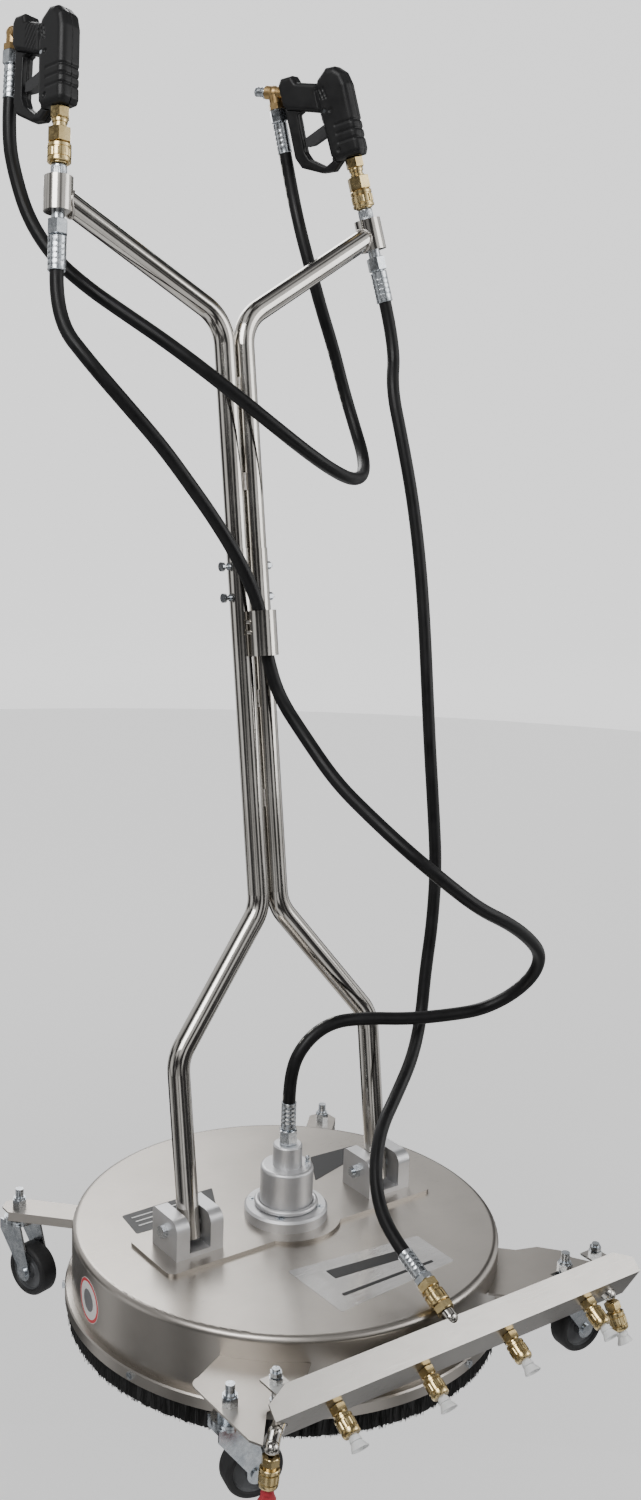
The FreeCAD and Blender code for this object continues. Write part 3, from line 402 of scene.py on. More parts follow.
def hose_material():
    """Black cover with a fine wrap pattern and a broken pale stripe of plain dashes."""
    nodes = Nodes("hose_rubber", (0.006, 0.006, 0.0065), 0.0, 0.45, **{"Specular IOR Level": 0.25})
    split = nodes.tree.nodes.new("ShaderNodeSeparateXYZ")
    nodes.link(nodes.coords.outputs["UV"], split.inputs["Vector"])
    around, along = split.outputs["X"], split.outputs["Y"]
    wrap = nodes.math("SINE", nodes.math("MULTIPLY", along, WRAP_RATE))
    cloth = nodes.math("SINE", nodes.math("MULTIPLY", around, CLOTH_RATE))
    slow = nodes.noise(30, detail=6, rough=0.65)
    beat = nodes.math("FRACT", nodes.math("MULTIPLY", along, DASHES_PER_METRE))
    dash = nodes.math("LESS_THAN", beat, DASH_SHARE)
    patch = nodes.math("GREATER_THAN", nodes.noise(7), 0.5)
    worn = nodes.math("GREATER_THAN", nodes.noise(900, detail=2), 0.47)
    aside = nodes.math("ABSOLUTE", nodes.math("SUBTRACT", around, PRINT_PLACE))
    across = nodes.math("LESS_THAN", aside, PRINT_HALF)
    mark = dash
    for part in (patch, worn, across):
        mark = nodes.math("MULTIPLY", mark, part)
    black = nodes.mix(nodes.spread(slow, 0, 1), (0.003, 0.003, 0.0033), (0.008, 0.008, 0.0085))
    nodes.color(nodes.mix(mark, black, (0.42, 0.41, 0.37)))
    nodes.rough(nodes.spread(slow, 0.32, 0.5))
    nodes.bump(nodes.math("ADD", wrap, cloth), 0.00004, 0.5)
    return nodes.material


RING_INNER, RING_OUTER, CORE_EDGE = 0.84, 0.98, 0.5  # shares of the sticker's radius


def decal_material():
    """A plain red ring on an off-white disc, by distance from the middle of the sticker."""
    nodes = Nodes("ring_decal", (0.75, 0.74, 0.72), 0.0, 0.35)
    split = nodes.tree.nodes.new("ShaderNodeSeparateXYZ")
    nodes.link(nodes.coords.outputs["UV"], split.inputs["Vector"])
    out = split.outputs["X"]
    grain = nodes.noise(260, detail=3)
    past_inner = nodes.math("GREATER_THAN", out, RING_INNER)
    ring = nodes.math("MULTIPLY", past_inner, nodes.math("LESS_THAN", out, RING_OUTER))
    core = nodes.math("LESS_THAN", out, CORE_EDGE)
    paper = nodes.mix(nodes.spread(grain, 0, 1), (0.68, 0.67, 0.65), (0.8, 0.79, 0.77))
    shaded = nodes.mix(core, paper, (0.16, 0.16, 0.165))
    nodes.color(nodes.mix(ring, shaded, (0.6, 0.05, 0.06)))
    nodes.rough(nodes.spread(grain, 0.28, 0.42))
    nodes.bump(grain, 0.00002)
    return nodes.material


STEEL = metal("brushed_stainless", (0.36, 0.335, 0.305), (0.46, 0.43, 0.395), 0.26, 0.4,
              grain=60, stretch=(1, 28, 28), depth=0.00002, cloud=5)
BAR_STEEL = metal("brushed_stainless_bar", (0.40, 0.38, 0.355), (0.51, 0.49, 0.46), 0.24, 0.38,
                  grain=70, stretch=(0.6, 26, 26), depth=0.00002, cloud=7)
POLISHED = metal("polished_stainless", (0.42, 0.40, 0.37), (0.56, 0.54, 0.505), 0.08, 0.18,
                 grain=90, stretch=(6, 6, 0.5), depth=0.00001, cloud=12)
CASTING = metal("cast_aluminium", (0.54, 0.54, 0.545), (0.64, 0.64, 0.65), 0.4, 0.55,
                grain=1600, depth=0.00006, cloud=20)
ZINC = metal("zinc_steel", (0.36, 0.39, 0.42), (0.62, 0.645, 0.67), 0.16, 0.34,
             grain=260, depth=0.00003, cloud=90)
BRASS = metal("brass", (0.46, 0.34, 0.15), (0.70, 0.56, 0.30), 0.14, 0.3,
              grain=300, depth=0.00002, cloud=70)
AGED_BRASS = metal("brass_aged", (0.30, 0.19, 0.08), (0.52, 0.36, 0.17), 0.28, 0.46,
                   grain=500, depth=0.00003, cloud=80)
WELD = metal("weld_bead", (0.42, 0.39, 0.35), (0.66, 0.63, 0.60), 0.2, 0.42,
             grain=600, depth=0.00004, cloud=120)
FOIL = metal("foil_label", (0.44, 0.43, 0.42), (0.56, 0.55, 0.54), 0.16, 0.3,
             grain=40, stretch=(1, 9, 1), depth=0.00001, cloud=16)
BLACK = plastic("black_plastic", (0.004, 0.004, 0.0045), (0.009, 0.009, 0.0095), 0.36, 0.54, 900,
                **{"Specular IOR Level": 0.32})
CHARCOAL = plastic("charcoal_plastic", (0.014, 0.014, 0.015), (0.028, 0.028, 0.03), 0.4, 0.55, 900)
BRISTLE = plastic("black_bristle", (0.004, 0.004, 0.004), (0.014, 0.014, 0.014), 0.45, 0.7, 1500)
RED = plastic("red_plastic", (0.30, 0.012, 0.022), (0.46, 0.03, 0.045), 0.4, 0.6, 700, 0.0001)
CLEAR = plastic("white_plastic", (0.80, 0.81, 0.80), (0.92, 0.925, 0.92), 0.2, 0.36, 500,
                0.00003, **{"Transmission Weight": 0.12, "IOR": 1.49})
TYRE = plastic("tyre_black", (0.006, 0.006, 0.0065), (0.016, 0.016, 0.017), 0.5, 0.75, 500, 0.0001)
HUB = plastic("hub_grey", (0.07, 0.073, 0.077), (0.11, 0.113, 0.118), 0.4, 0.6, 700)
LABEL = plastic("black_label", (0.006, 0.006, 0.0065), (0.013, 0.013, 0.014), 0.3, 0.42, 300,
                **{"Specular IOR Level": 0.3})
PRINT = plastic("pale_print", (0.5, 0.5, 0.49), (0.62, 0.62, 0.6), 0.3, 0.45, 300)
RUBBER = hose_material()
DECAL = decal_material()


def paint(material, *names):
    """Gives nodes of the frame their look."""
    for name in names:
        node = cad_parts[name]
        for slot in node.material_slots:
            slot.material = material


def paint_cad():
    paint(STEEL, "deck_shell", "front_plates", "brush_rim", "castor_arms")
    paint(BAR_STEEL, "broom_cover")
    paint(POLISHED, "leg_left", "leg_right", "arm_left", "arm_right", "tube_spigots",
          "handle_collars", "broom_pipe", "spray_arm", "hose_clip", "rotor_shaft")
    paint(CASTING, "swivel_housing", "rotor_hub", "handle_clevises")
    paint(ZINC, "rim_screws", "housing_screws", "grease_nipple", "swivel_bearings",
          "pivot_fasteners", "castor_fasteners", "broom_bolts", "joint_bolts",
          "castor_fork_front_left", "castor_fork_front_right", "castor_fork_rear_left",
          "castor_fork_rear_right", "trigger_pins", "spray_nozzles")
    paint(BRASS, "gun_valves")
    paint(AGED_BRASS, "gun_inlet_fittings")
    paint(CHARCOAL, "trigger_left", "trigger_right")


# ---------------------------------------------------------------- turned fittings

SPOKES = 72
CRIMPS = 5


def reach(kind, radius, angle):
    """How far out a round, hexagonal, ribbed, knurled or crimped section is at an angle."""
    if kind == "hex":
        return radius / math.cos(angle % (TAU / 6) - TAU / 12)
    if kind == "ribs":
        return radius * (1 - 0.05 * max(0.0, math.cos(12 * angle)) ** 4)
    if kind == "knurl":
        return radius * (1 - 0.04 * (round(angle / TAU * SPOKES) % 2))
    if kind == "crimp":
        return radius * (1 - 0.03 * abs(math.cos(4 * angle)))
    return radius


class Turned:
    """A group of turned solids, gathered into one mesh."""

    def __init__(self):
        self.verts, self.faces = [], []

    def add(self, matrix, rings, hollow=False, flatten=1.0):
        """Rings are (height, radius, kind). In a hollow solid the last ring joins the first."""
        base = len(self.verts)
        for height, radius, *kind in rings:
            for k in range(SPOKES):
                angle = TAU * k / SPOKES
                far = reach(kind[0] if kind else "round", radius, angle)
                spot = Vector((far * math.cos(angle), far * math.sin(angle) * flatten, height))
                self.verts.append(matrix @ (spot * MM))
        count = len(rings)
        for i in range(count if hollow else count - 1):
            self.faces += band(base + i * SPOKES, base + (i + 1) % count * SPOKES, SPOKES)
        if not hollow:
            last = base + (count - 1) * SPOKES
            self.faces.append(tuple(range(base + SPOKES - 1, base - 1, -1)))
            self.faces.append(tuple(range(last, last + SPOKES)))

    def piece(self, name, body, material, slot, *nodes):
        made = build(name, self.verts, self.faces, smooth_angle=28)
        return finished(made, body, material, slot, *nodes)


def nut(low, high, flats):
    """The rings of a chamfered hexagon."""
    half, edge = flats / 2, 0.9
    return [(low, half * 0.95), (low + edge, half, "hex"),
            (high - edge, half, "hex"), (high, half * 0.95)]


def tail(start, nut_length, tail_length, radius, nut_size):
    """The rings of a hose's swivel nut, neck and crimped ferrule."""
    low = start + nut_length
    wide = (tail_length - 8) / CRIMPS
    crimps = []
    for i in range(CRIMPS):
        at = low + 5 + i * (tail_length - 8) / CRIMPS
        crimps += [(at, radius, "crimp"), (at + wide * 0.72, radius, "crimp"),
                   (at + wide * 0.8, radius - 0.45), (at + wide * 0.92, radius - 0.45)]
    return [
        *nut(start, low, nut_size), (low, 8.2), (low + 1.5, 8.2), (low + 1.5, radius - 1),
        (low + 2.5, radius), *crimps, (low + tail_length + 0.7, radius),
        (low + 1.5 + tail_length, radius - 0.8), (low + 1.5 + tail_length, 4),
    ]


def make_stack_fittings():
    nipples, couplers, tails = Turned(), Turned(), Turned()
    for side in SIDES:
        matrix = stack_frame(side)
        nipples.add(matrix, [
            (-31.6, 4), (-31.6, 8.5), (22.1, 8.5), (22.1, 9.8), (23, 10.5), (24, 10.5, "knurl"),
            (33, 10.5, "knurl"), (34, 10.5), (36, 10.2), (37.5, 9), (37.5, 7), (60, 7), (60, 4),
        ], hollow=True)
        couplers.add(matrix, [
            (37.9, 7.05), (38, 11.5), (38.6, 12), (64.4, 12), *nut(64.5, 83.5, 28), (83.5, 10),
            (86, 10), (86.5, 8.8), (90, 8.8), (90.5, 10), (93, 10.4), (95.4, 10),
            *nut(95.4, 109.7, 23), (109.7, 7.2), (62, 7.05),
        ], hollow=True)
        tails.add(matrix @ turn(180, "X"), tail(31.7, 19.5, 43.9, 12, 24))
        elbow = gun_frame(side) @ facing(ELBOW, BRANCH)
        tails.add(elbow, tail(23.1, 18, 42, 10.5, 22))
        sleeve = Turned()
        sleeve.add(matrix, [
            (40, 12.05), (40, 14.6), (41, 15.5), (44, 15.5), (44.6, 14.5), (46, 14.5),
            (46.6, 15.6, "ribs"), (56, 15.6, "ribs"), (56.6, 14.5), (58, 14.5), (58.6, 15.5),
            (62.4, 15.5), (63.5, 14.4), (63.5, 12.05),
        ], hollow=True)
        sleeve.piece(f"sleeve_{side}_brass", f"coupler_sleeve_{side}", BRASS, "brass",
                     f"coupler_sleeve_{side}")
    nipples.piece("nipples_knurled", "handle", ZINC, "zinc_steel", "collar_nipples")
    couplers.piece("couplers_brass", "handle", BRASS, "brass", "gun_couplers")
    tails.piece("hose_ends_crimped", "handle", ZINC, "zinc_steel", "hose_fittings")
    plug = Turned()
    plug_frame = gun_frame("right") @ facing(ELBOW + BARREL * 13.1, BARREL)
    plug.add(plug_frame, [
        (0, 4), *nut(0, 4, 16), (4.5, 6.2), (6.5, 6.2), (7, 7), (10, 7), (10.5, 6), (12.5, 6),
        (13, 7), (16, 6.6), (17, 5.8), (17, 4),
    ], hollow=True)
    plug.piece("inlet_plug_ridged", "handle", ZINC, "zinc_steel", "water_inlet_plug")


SWIVEL_TOP = 275


def make_deck_fittings():
    start = facing(INLET_START, INLET_AXIS)
    ends = Turned()
    ends.add(shift(0, 0, SWIVEL_TOP), tail(0, 22, 39.5, 10.75, 24))
    ends.add(start, tail(55.1, 9, 38.4, 11, 24))
    ends.piece("deck_hose_ends_crimped", "deck", ZINC, "zinc_steel", "deck_hose_fittings")
    inlet = Turned()
    inlet.add(start, [
        *nut(9.1, 20, 24), (20.1, 12), (42.9, 12), *nut(43, 55, 26),
    ])
    inlet.piece("inlet_coupler_brass", "deck", BRASS, "brass", "broom_inlet")
    ring = Turned()
    ring.add(start, [
        (21, 12.05), (21, 13.6), (22, 14.2), (24.5, 14.2), (25, 13.4), (26, 13.4),
        (26.5, 14.2, "ribs"), (33.5, 14.2, "ribs"), (34, 13.4), (35, 13.4), (35.5, 14.2),
        (37.2, 14.2), (38, 13.6), (38, 12.05),
    ], hollow=True)
    ring.piece("inlet_sleeve_ribbed", "inlet_sleeve", BRASS, "brass", "broom_inlet_sleeve")


PIPE = (-329.3, 124.0)  # the y and z of its middle
NOZZLE_X = (-166.0, -26.0, 117.0, 263.0)
SPRAY_SEAT, OUTLET_SEAT = 14.8, 9.6
SPRAY = Vector((0, -48, -28)).normalized()
OUTLETS = (
    (Vector((-278, -366, 118)), Vector((-0.08, 0, -1)).normalized()),
    (Vector((311, -339, 109)), Vector((0.1, -0.45, -0.89)).normalized()),
)


def nozzle_frames():
    """A frame for each quick coupler of the broom, the red one first, with x across the fan."""
    seats = [(spot + axis * OUTLET_SEAT, axis) for spot, axis in OUTLETS]
    seats += [(Vector((x, *PIPE)) + SPRAY * SPRAY_SEAT, SPRAY) for x in NOZZLE_X]
    for spot, axis in seats:
        width = (Vector((1, 0, 0)) - axis * axis.x).normalized()
        spin = Matrix((width, axis.cross(width), axis)).transposed().to_4x4()
        yield shift(*spot) @ spin


def make_nozzles():
    sockets, red, white = Turned(), Turned(), Turned()
    for index, matrix in enumerate(nozzle_frames()):
        sockets.add(matrix, [
            (2, 3), *nut(0, 11, 20), (11, 8.5), (14, 8.5), (14, 11.6), (15, 12.3), (18, 12.3),
            (18.6, 11.2), (20, 11.2), (20.6, 12.5, "ribs"), (30, 12.5, "ribs"), (30.6, 11.3),
            (32, 11.3), (32.6, 12.3), (36, 12.2), (38, 11.4), (39, 10.4), (39, 5.6), (24, 5.6),
            (24, 3),
        ], hollow=True)
        tip = red if index == 0 else white
        tip.add(matrix, [
            (26, 5.5), (40.5, 5.5), (41, 7), (42.5, 7.4), (46, 8.2), (47, 8.4), (47, 3), (26, 3),
        ], hollow=True, flatten=0.92)
        tip.add(matrix, [
            (46.5, 6.5), (47.5, 8.2), (52, 10.6), (55.5, 12.6), (57, 13), (57, 11.4), (54, 9.6),
            (50, 5.5), (49, 4),
        ], flatten=0.62)
    sockets.piece("nozzle_couplers_brass", "deck", BRASS, "brass", "nozzle_sockets")
    red.piece("nozzle_fan_red", "deck", RED, "red_plastic", "nozzle_tip_red")
    white.piece("nozzle_fans_white", "deck", CLEAR, "white_plastic", "nozzle_tips_white")


# ---------------------------------------------------------------- castor wheels

CASTORS = {  # x, y and heading of each
    "front_left": (-281.0, -282.0, -12.0), "front_right": (281.0, -282.0, -4.0),
    "rear_left": (-281.0, 287.0, -75.0), "rear_right": (281.0, 287.0, -100.0),
}
WHEEL_RADIUS, WHEEL_HALF, TRAIL = 38.0, 15.0, 30.0


def make_wheels():
    half = WHEEL_HALF
    for name, (x, y, heading) in CASTORS.items():
        fork = shift(x, y, 0) @ turn(heading, "Z")
        matrix = fork @ shift(TRAIL, 0, WHEEL_RADIUS) @ turn(90, "X")
        tyre = Turned()
        tyre.add(matrix, [
            (-half + 3, 28.5), (-half + 0.6, 30), (-half, 33), (-half + 1.2, 35.8),
            (-half + 3.5, 37.5), (-half + 5, WHEEL_RADIUS), (half - 5, WHEEL_RADIUS),
            (half - 3.5, 37.5), (half - 1.2, 35.8), (half, 33), (half - 0.6, 30), (half - 3, 28.5),
        ], hollow=True)
        tyre.piece(f"tyre_{name}", f"wheel_{name}", TYRE, "tyre_black", f"castor_wheel_{name}")
        hub = Turned()
        hub.add(matrix, [
            (-half - 1, 5.06), (-half - 1, 10.4), (-half - 0.4, 11), (-8, 12), (-7, 13), (-7, 25),
            (-8, 27), (-half + 3, 28.4), (half - 3, 28.4), (8, 27), (7, 25), (7, 13), (8, 12),
            (half + 0.4, 11), (half + 1, 10.4), (half + 1, 5.06),
        ], hollow=True)
        hub.piece(f"hub_{name}", f"wheel_{name}", HUB, "tyre_black")


# ---------------------------------------------------------------- bristles

CURTAIN_STEPS, LOOSE_BRISTLES = 720, 5200
CURTAIN_INNER, CURTAIN_OUTER = 300, 308
CURTAIN_TOP, CURTAIN_FOOT = 53, 24.5
BRISTLE_TOP, BRISTLE_ROOT_RADIUS, BRISTLE_TIP_RADIUS = 52.9, 0.62, 0.4


def make_bristles():
    """A dense skirt: a dark curtain with a torn lower edge, and loose bristles around it."""
    chance = random.Random(7)
    verts, faces = [], []
    lows = [CURTAIN_FOOT + chance.uniform(-1.2, 2.2) for _ in range(CURTAIN_STEPS)]
    for i, low in enumerate(lows):
        angle = TAU * i / CURTAIN_STEPS
        wave = chance.uniform(-0.7, 0.7)
        for radius, height in (
            (CURTAIN_OUTER + wave, CURTAIN_TOP), (CURTAIN_OUTER + 0.4 + wave, low),
            (CURTAIN_INNER - wave, low + 1), (CURTAIN_INNER, CURTAIN_TOP),
        ):
            verts.append(Vector((radius * math.cos(angle), radius * math.sin(angle), height)) * MM)
    for i in range(CURTAIN_STEPS):
        faces += band(4 * i, 4 * ((i + 1) % CURTAIN_STEPS), 4)
    for _ in range(LOOSE_BRISTLES):
        angle = chance.uniform(0, TAU)
        radius = chance.uniform(304.5, 309)
        end = chance.uniform(22.2, 27.5)
        lean_out = chance.gauss(0.6, 1.5)
        lean_side = chance.gauss(0, 2.6)
        out = Vector((math.cos(angle), math.sin(angle), 0))
        side = Vector((-math.sin(angle), math.cos(angle), 0))
        top = out * radius + Vector((0, 0, BRISTLE_TOP))
        tip = out * (radius + lean_out) + side * lean_side + Vector((0, 0, end))
        base = len(verts)
        for centre, size in ((top, BRISTLE_ROOT_RADIUS), (tip, BRISTLE_TIP_RADIUS)):
            for k in range(3):
                bend = TAU * k / 3
                verts.append((centre + (out * math.cos(bend) + side * math.sin(bend)) * size) * MM)
        faces += band(base, base + 3, 3)
        faces += [(base + 2, base + 1, base), (base + 3, base + 4, base + 5)]
    piece = build("bristle_skirt", verts, faces, smooth_angle=20)
    finished(piece, "deck", BRISTLE, "black_bristle", "brush_skirt")


# ---------------------------------------------------------------- trigger guns

GUARD_HALF, BARREL_HALF, GRIP_HALF = 9.0, 14.0, 17.0
GUARD_LOOP = (
    (26, 72), (57, 84), (60, 126), (80, 130), (86, 118), (86, 62), (87, 24), (80, 8), (50, -8),
    (30, -11), (15, 0.3), (6, 0.3), (6, 8),
)
BARREL_BLOCK = (
    (20, 66), (32, 72), (58, 82), (80, 90), (86, 98), (86, 126), (80, 134), (61, 133), (57, 122),
    (20, 109),
)
GRIP_BLOCK = (
    (-17, 0), (22, 0), (29, 10), (30, 58), (31, 98), (25, 115), (8, 127), (-6, 125), (-17, 114),
    (-21, 97), (-21, 8),
)
MOULDINGS = {  # the outline, half thickness and edge radius of each block
    "guard": (GUARD_LOOP, GUARD_HALF, 4.0),
    "barrel": (BARREL_BLOCK, BARREL_HALF, 6.0),
    "grip": (GRIP_BLOCK, GRIP_HALF, 9.5),
}
NEAR_EDGE = -0.8
GRIP_GROOVES, GROOVE_DEPTH, GROOVE_WIDTH = (48, 36, 24), 1.5, 1.5
DIMPLES, DIMPLE_RADIUS, DIMPLE_DEPTH = ((12, 70), (12, 14)), 2.9, 1.8
VENTS, VENT_DEPTH = ((15, 94), (20, 94), (25, 94)), 1.7
STRIPE_PITCH, STRIPE_DEPTH = 6, 0.7
FINE_VOXEL, QUICK_VOXEL = 1.15, 1.8


def outline_depth(outline, points):
    """How deep each point lies inside an outline; negative outside it."""
    corners = np.array(outline, float)
    nearest = np.full(len(points), 1e9)
    inside = np.zeros(len(points), bool)
    for a, b in zip(corners, np.roll(corners, -1, axis=0)):
        edge = b - a
        t = np.clip(((points - a) @ edge) / (edge @ edge), 0, 1)
        nearest = np.minimum(nearest, np.linalg.norm(points - (a + t[:, None] * edge), axis=1))
        crosses = (a[1] > points[:, 1]) != (b[1] > points[:, 1])
        if a[1] != b[1]:
            at = (b[0] - a[0]) * (points[:, 1] - a[1]) / (b[1] - a[1]) + a[0]
            inside ^= crosses & (points[:, 0] < at)
    return np.where(inside, nearest, -nearest)


def crown(depth, half, radius):
    """The half thickness of a block with rounded edges, at a depth inside its outline."""
    d = np.clip(depth, 0, radius)
    rounded = half - radius + np.sqrt(np.maximum(radius * radius - (radius - d) ** 2, 0))
    return np.where(depth >= NEAR_EDGE, rounded, 0)


def soften_gun(co, side):
    """Rounds and grooves a moulded half, given its vertices in the gun's own frame."""
    flat = co[:, :2]
    deep, fulls, crowns = {}, [], []
    for name, (outline, half, radius) in MOULDINGS.items():
        deep[name] = outline_depth(outline, flat)
        fulls.append(np.where(deep[name] >= NEAR_EDGE, half, 0))
        crowns.append(crown(deep[name], half, radius))
    full, soft = np.maximum.reduce(fulls), np.maximum.reduce(crowns)
    factor = np.where(full > 0, np.maximum(soft, 3.0) / np.maximum(full, 1e-6), 1)
    outer = np.abs(co[:, 2]) > 0.82 * full
    co[:, 2] *= np.clip(factor, 0.3, 1)
    grip = (deep["grip"] > -1.2) & (co[:, 0] < 12)
    for level in GRIP_GROOVES:
        dip = GROOVE_DEPTH * np.exp(-((flat[:, 1] - level) / GROOVE_WIDTH) ** 2)
        shell = grip & (outer | (co[:, 0] < -17))
        co[:, 0] += np.where(shell & (co[:, 0] < -15), dip, 0)
        co[:, 2] -= np.where(shell & outer, np.sign(co[:, 2]) * dip * 0.8, 0)
    for u, w in DIMPLES:
        near = np.hypot(flat[:, 0] - u, flat[:, 1] - w)
        co[:, 2] -= np.where(outer, np.sign(co[:, 2]) * DIMPLE_DEPTH * (near < DIMPLE_RADIUS), 0)
    for u, w in VENTS:
        lean = flat[:, 0] - u - 0.18 * (flat[:, 1] - w)
        slit = outer & (np.abs(lean) < 1.0) & (np.abs(flat[:, 1] - w) < 8)
        co[:, 2] -= np.where(slit, np.sign(co[:, 2]) * VENT_DEPTH, 0)
    if side == "left":
        slant = (flat[:, 0] * 0.8 + flat[:, 1] * 0.6) % STRIPE_PITCH
        stripe = np.abs(slant - STRIPE_PITCH / 2) < 0.8
        zone = outer & (deep["barrel"] > 3) & (flat[:, 0] > 36) & (flat[:, 0] < 56)
        co[:, 2] -= np.where(stripe & zone, np.sign(co[:, 2]) * STRIPE_DEPTH, 0)
    return co


def make_guns():
    """The guns' moulded halves, remeshed evenly and then rounded."""
    voxel = FINE_VOXEL * MM
    for side in SIDES:
        local = gun_frame(side)
        for half in ("front", "back"):
            node = f"gun_{side}_shell_{half}"
            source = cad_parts[node]
            mesh = source.data.copy()
            mesh.transform(local.inverted() @ source.matrix_world)
            piece = bpy.data.objects.new(f"gun_{side}_{half}_moulding", mesh)
            bpy.context.collection.objects.link(piece)
            work = bmesh.new()
            work.from_mesh(mesh)
            bmesh.ops.remove_doubles(work, verts=work.verts, dist=1e-5)
            work.to_mesh(mesh)
            work.free()
            remesh = piece.modifiers.new("even", "REMESH")
            remesh.mode = "VOXEL"
            remesh.voxel_size = voxel
            remesh.use_smooth_shade = True
            smooth = piece.modifiers.new("relax", "SMOOTH")
            smooth.iterations = 3
            smooth.factor = 0.5
            bpy.context.view_layer.update()
            graph = bpy.context.evaluated_depsgraph_get()
            made = bpy.data.meshes.new_from_object(piece.evaluated_get(graph))
            piece.modifiers.clear()
            piece.data = made
            co = np.empty(len(made.vertices) * 3)
            made.vertices.foreach_get("co", co)
            co = soften_gun(co.reshape(-1, 3) / MM, side) * MM
            made.vertices.foreach_set("co", co.ravel())
            made.transform(local)
            made.materials.clear()
            made.shade_smooth()
            made.update()
            finished(piece, "handle", BLACK, "black_plastic", node)


# ---------------------------------------------------------------- weld beads

POST, ARM_BEND, ARM_RADIUS, COLLAR_RADIUS = 15.6, 1231.3, 14.75, 19.0
COLLAR_BEAD, POST_BEAD = 1.7, 2.2
BEAD_STEPS, RAY_STEP, RAY_MARGIN = 90, 0.25, 5
POST_WELDS, WELD_DEPTH = (560, 700, 1000, 1130), -5.2


def bead(name, path, size, closed=False):
    """A rippled bead of weld along a path in metres."""
    def ripple(run, angle):
        return size * MM * (1 + 0.16 * math.sin(run / MM * 2.1))

    verts, faces, uvs = sweep([Vector(p) for p in path], ripple, 10, closed)
    piece = build(name, verts, faces, uvs, 60)
    finished(piece, "handle", WELD, "polished_stainless")


def make_welds():
    """A bead where each arm meets its collar, and short ones between the posts."""
    for side in SIDES:
        across, height, lean = COLLARS[side]
        inward = Vector((SIGN[side] * POST - across, 0, ARM_BEND - height)).normalized()
        axis = turn(lean, "Y").to_3x3() @ Vector((0, 0, 1))
        level = Vector((0, 1, 0))
        upward = inward.cross(level)
        ring = []
        for i in range(BEAD_STEPS):
            angle = TAU * i / BEAD_STEPS
            offset = (level * math.cos(angle) + upward * math.sin(angle)) * (ARM_RADIUS + 0.4)
            distance = 0.0
            while True:
                spot = offset + inward * distance
                clear = (spot - axis * spot.dot(axis)).length > COLLAR_RADIUS + 0.3
                if clear and distance > RAY_MARGIN:
                    break
                distance += RAY_STEP
            ring.append(place(HANDLE, Vector((across, 0, height)) + spot))
        bead(f"weld_collar_{side}", ring, COLLAR_BEAD, closed=True)
    for index, height in enumerate(POST_WELDS):
        line = [place(HANDLE, (0, WELD_DEPTH, height + 1.6 * i)) for i in range(16)]
        bead(f"weld_posts_{index}", line, POST_BEAD)


# ---------------------------------------------------------------- labels on the deck

def rounded(corners, radius=4.0, steps=5):
    """The outline of a flat label with rounded corners."""
    points = []
    count = len(corners)
    for i, corner in enumerate(corners):
        spot = Vector(corner)
        back = (Vector(corners[i - 1]) - spot).normalized()
        ahead = (Vector(corners[(i + 1) % count]) - spot).normalized()
        for k in range(steps + 1):
            t = k / steps
            points.append(spot + back * radius * (1 - t) ** 2 + ahead * radius * t ** 2)
    return points


def make_label(name, corners, material, slot, low=DECK_TOP + 0.05, thick=0.25, corner=4.0):
    """A flat sheet on the deck."""
    outline = rounded(corners, corner)
    count = len(outline)
    verts = [Vector((p.x, p.y, z)) * MM for z in (low, low + thick) for p in outline]
    faces = [tuple(reversed(range(count))), tuple(range(count, 2 * count))]
    faces += band(0, count, count)
    finished(build(name, verts, faces), "deck", material, slot)


def make_labels():
    """Plain bars where the deck's labels are."""
    foil = ((-84, -123), (126, -144), (126, -223), (-82, -241))
    make_label("badge_foil", foil, FOIL, "brushed_stainless")
    low = DECK_TOP + 0.4
    bars = {
        "badge_band": ((-40, -150), (84, -162), (84, -182), (-40, -172)),
        "badge_line": ((-56, -206), (100, -205), (100, -210), (-56, -212)),
    }
    for name, corners in bars.items():
        make_label(name, corners, LABEL, "black_plastic", low, 0.2, 1.5)
    blacks = {
        "label_left": ((-199, 125), (-44, 127), (-74, 66), (-206, 70)),
        "label_right": ((140, 130), (223, 126), (223, 99), (101, 64)),
    }
    for name, corners in blacks.items():
        make_label(name, corners, LABEL, "black_plastic")
    stripes = ((-190, -70, 112), (-190, -78, 100), (-192, -86, 88))
    half = 1.3
    for index, (start, end, y) in enumerate(stripes):
        stripe = ((start, y + half), (end, y + half), (end, y - half), (start, y - half))
        make_label(f"label_stripe_{index}", stripe, PRINT, "white_plastic", low, 0.2, 0.8)


DECAL_BEARING, DECAL_LEVEL, DECAL_RADIUS = math.radians(174.3), 111.0, 31.0


def make_ring_decal():
    """A round sticker that follows the side wall of the deck."""
    rings, spokes = 12, 64
    verts, faces, weights = [], [], []
    for wall in (DECK_RADIUS + 0.1, DECK_RADIUS + 0.35):
        for r in range(rings + 1):
            for k in range(spokes):
                far, angle = DECAL_RADIUS * max(r, 0.02) / rings, TAU * k / spokes
                bend = DECAL_BEARING + far * math.cos(angle) / DECK_RADIUS
                up = DECAL_LEVEL + far * math.sin(angle)
                verts.append(Vector((wall * math.cos(bend), wall * math.sin(bend), up)) * MM)
                weights.append(r / rings)
    layer = (rings + 1) * spokes
    for base in (0, layer):
        for r in range(rings):
            faces += band(base + r * spokes, base + (r + 1) * spokes, spokes)
        faces.append(tuple(base + k for k in range(spokes)))
    edge = rings * spokes
    faces += band(edge, layer + edge, spokes)
    uvs = [(weights[v], 0.5) for face in faces for v in face]
    piece = build("ring_decal", verts, faces, uvs)
    finished(piece, "deck", DECAL, "red_plastic")


# ---------------------------------------------------------------- stage and light

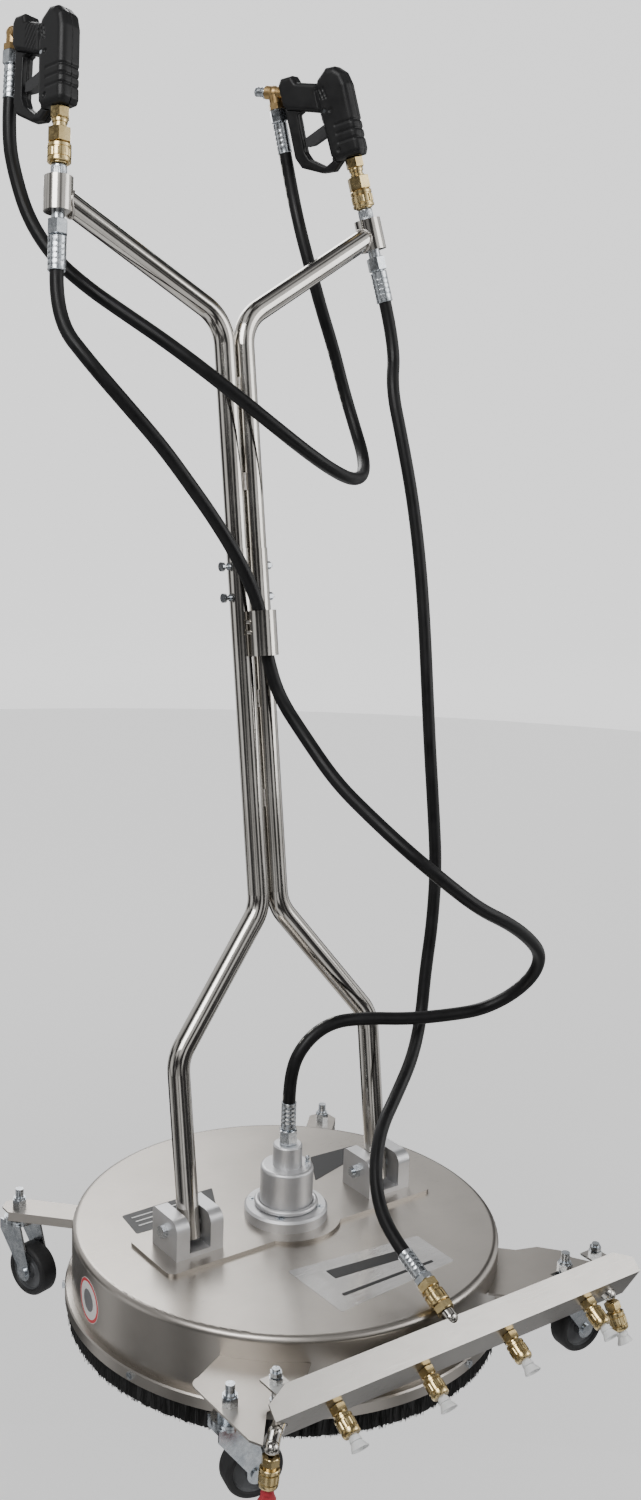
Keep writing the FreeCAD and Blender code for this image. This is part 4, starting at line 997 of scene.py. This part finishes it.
# Metres: the floor is flat out to the first ring, then curves up into a wall.
FLOOR_PROFILE = (
    (5.0, 0.0), (6.2, 0.2), (7.4, 0.8), (8.2, 1.8), (8.6, 3.2), (8.8, 5.5), (8.8, 14.0),
)
FLOOR_SPOKES = 96
FLOOR_GLOW = 0.95
LAMPS = (  # metres and watts: name, place, aim, size, power
    ("key", (-2.6, -1.4, 3.4), (0, 0, 0.6), 2.0, 110),
    ("fill", (2.8, -2.6, 2.0), (0, 0, 0.7), 2.4, 55),
    ("back", (0.8, 3.0, 3.0), (0, 0, 0.9), 2.2, 70),
)
STUDIO_DARK, STUDIO_LIGHT = (0.42, (0.05, 0.05, 0.052, 1)), (0.56, (1.0, 1.0, 1.0, 1))
STUDIO_PATCHES = 1.7
BACKDROP = (0.93, 0.93, 0.93, 1)


def make_floor():
    """A round floor that lights nothing but itself, so it shows in no reflection."""
    verts = [(r * math.cos(TAU * k / FLOOR_SPOKES), r * math.sin(TAU * k / FLOOR_SPOKES), z)
             for r, z in FLOOR_PROFILE for k in range(FLOOR_SPOKES)]
    faces = [tuple(range(FLOOR_SPOKES))]
    for i in range(len(FLOOR_PROFILE) - 1):
        faces += band(i * FLOOR_SPOKES, (i + 1) * FLOOR_SPOKES, FLOOR_SPOKES)
    mesh = bpy.data.meshes.new("floor")
    mesh.from_pydata(verts, [], faces)
    mesh.shade_smooth()
    floor = bpy.data.objects.new("floor", mesh)
    bpy.context.collection.objects.link(floor)
    floor.visible_glossy = False
    floor.visible_diffuse = False
    floor.visible_shadow = False
    nodes = Nodes("floor_paper", (0.9, 0.9, 0.9), 0.0, 0.9, **{"Emission Strength": FLOOR_GLOW})
    nodes.color(nodes.mix(nodes.noise(2.0), (0.88, 0.88, 0.88), (0.92, 0.92, 0.92)))
    nodes.shader.inputs["Emission Color"].default_value = (1, 1, 1, 1)
    mesh.materials.append(nodes.material)


def make_lamps():
    for name, spot, aim, size, power in LAMPS:
        data = bpy.data.lights.new(name, "AREA")
        data.energy = power
        data.size = size
        lamp = bpy.data.objects.new(name, data)
        lamp.location = spot
        lamp.rotation_euler = (Vector(aim) - Vector(spot)).to_track_quat("-Z", "Y").to_euler()
        bpy.context.collection.objects.link(lamp)


def make_world():
    """A studio of dark and light patches for the metal to mirror, plain to the camera."""
    world = bpy.data.worlds.new("studio")
    bpy.context.scene.world = world
    world.use_nodes = True
    tree = world.node_tree
    background = tree.nodes["Background"]
    background.inputs["Strength"].default_value = 1.0
    coords = tree.nodes.new("ShaderNodeTexCoord")
    ramp = tree.nodes.new("ShaderNodeValToRGB")
    wave = tree.nodes.new("ShaderNodeTexNoise")
    wave.inputs["Scale"].default_value = STUDIO_PATCHES
    tree.links.new(coords.outputs["Generated"], wave.inputs["Vector"])
    tree.links.new(wave.outputs["Fac"], ramp.inputs["Fac"])
    for stop, (position, color) in zip(ramp.color_ramp.elements, (STUDIO_DARK, STUDIO_LIGHT)):
        stop.position = position
        stop.color = color
    path = tree.nodes.new("ShaderNodeLightPath")
    mix = tree.nodes.new("ShaderNodeMixRGB")
    tree.links.new(path.outputs["Is Camera Ray"], mix.inputs["Fac"])
    tree.links.new(ramp.outputs["Color"], mix.inputs["Color1"])
    mix.inputs["Color2"].default_value = BACKDROP
    tree.links.new(mix.outputs["Color"], background.inputs["Color"])


make_camera()
make_hoses()
paint_cad()
make_stack_fittings()
make_deck_fittings()
make_nozzles()
make_wheels()
make_bristles()
make_guns()
make_welds()
make_labels()
make_ring_decal()
make_floor()
make_lamps()
make_world()
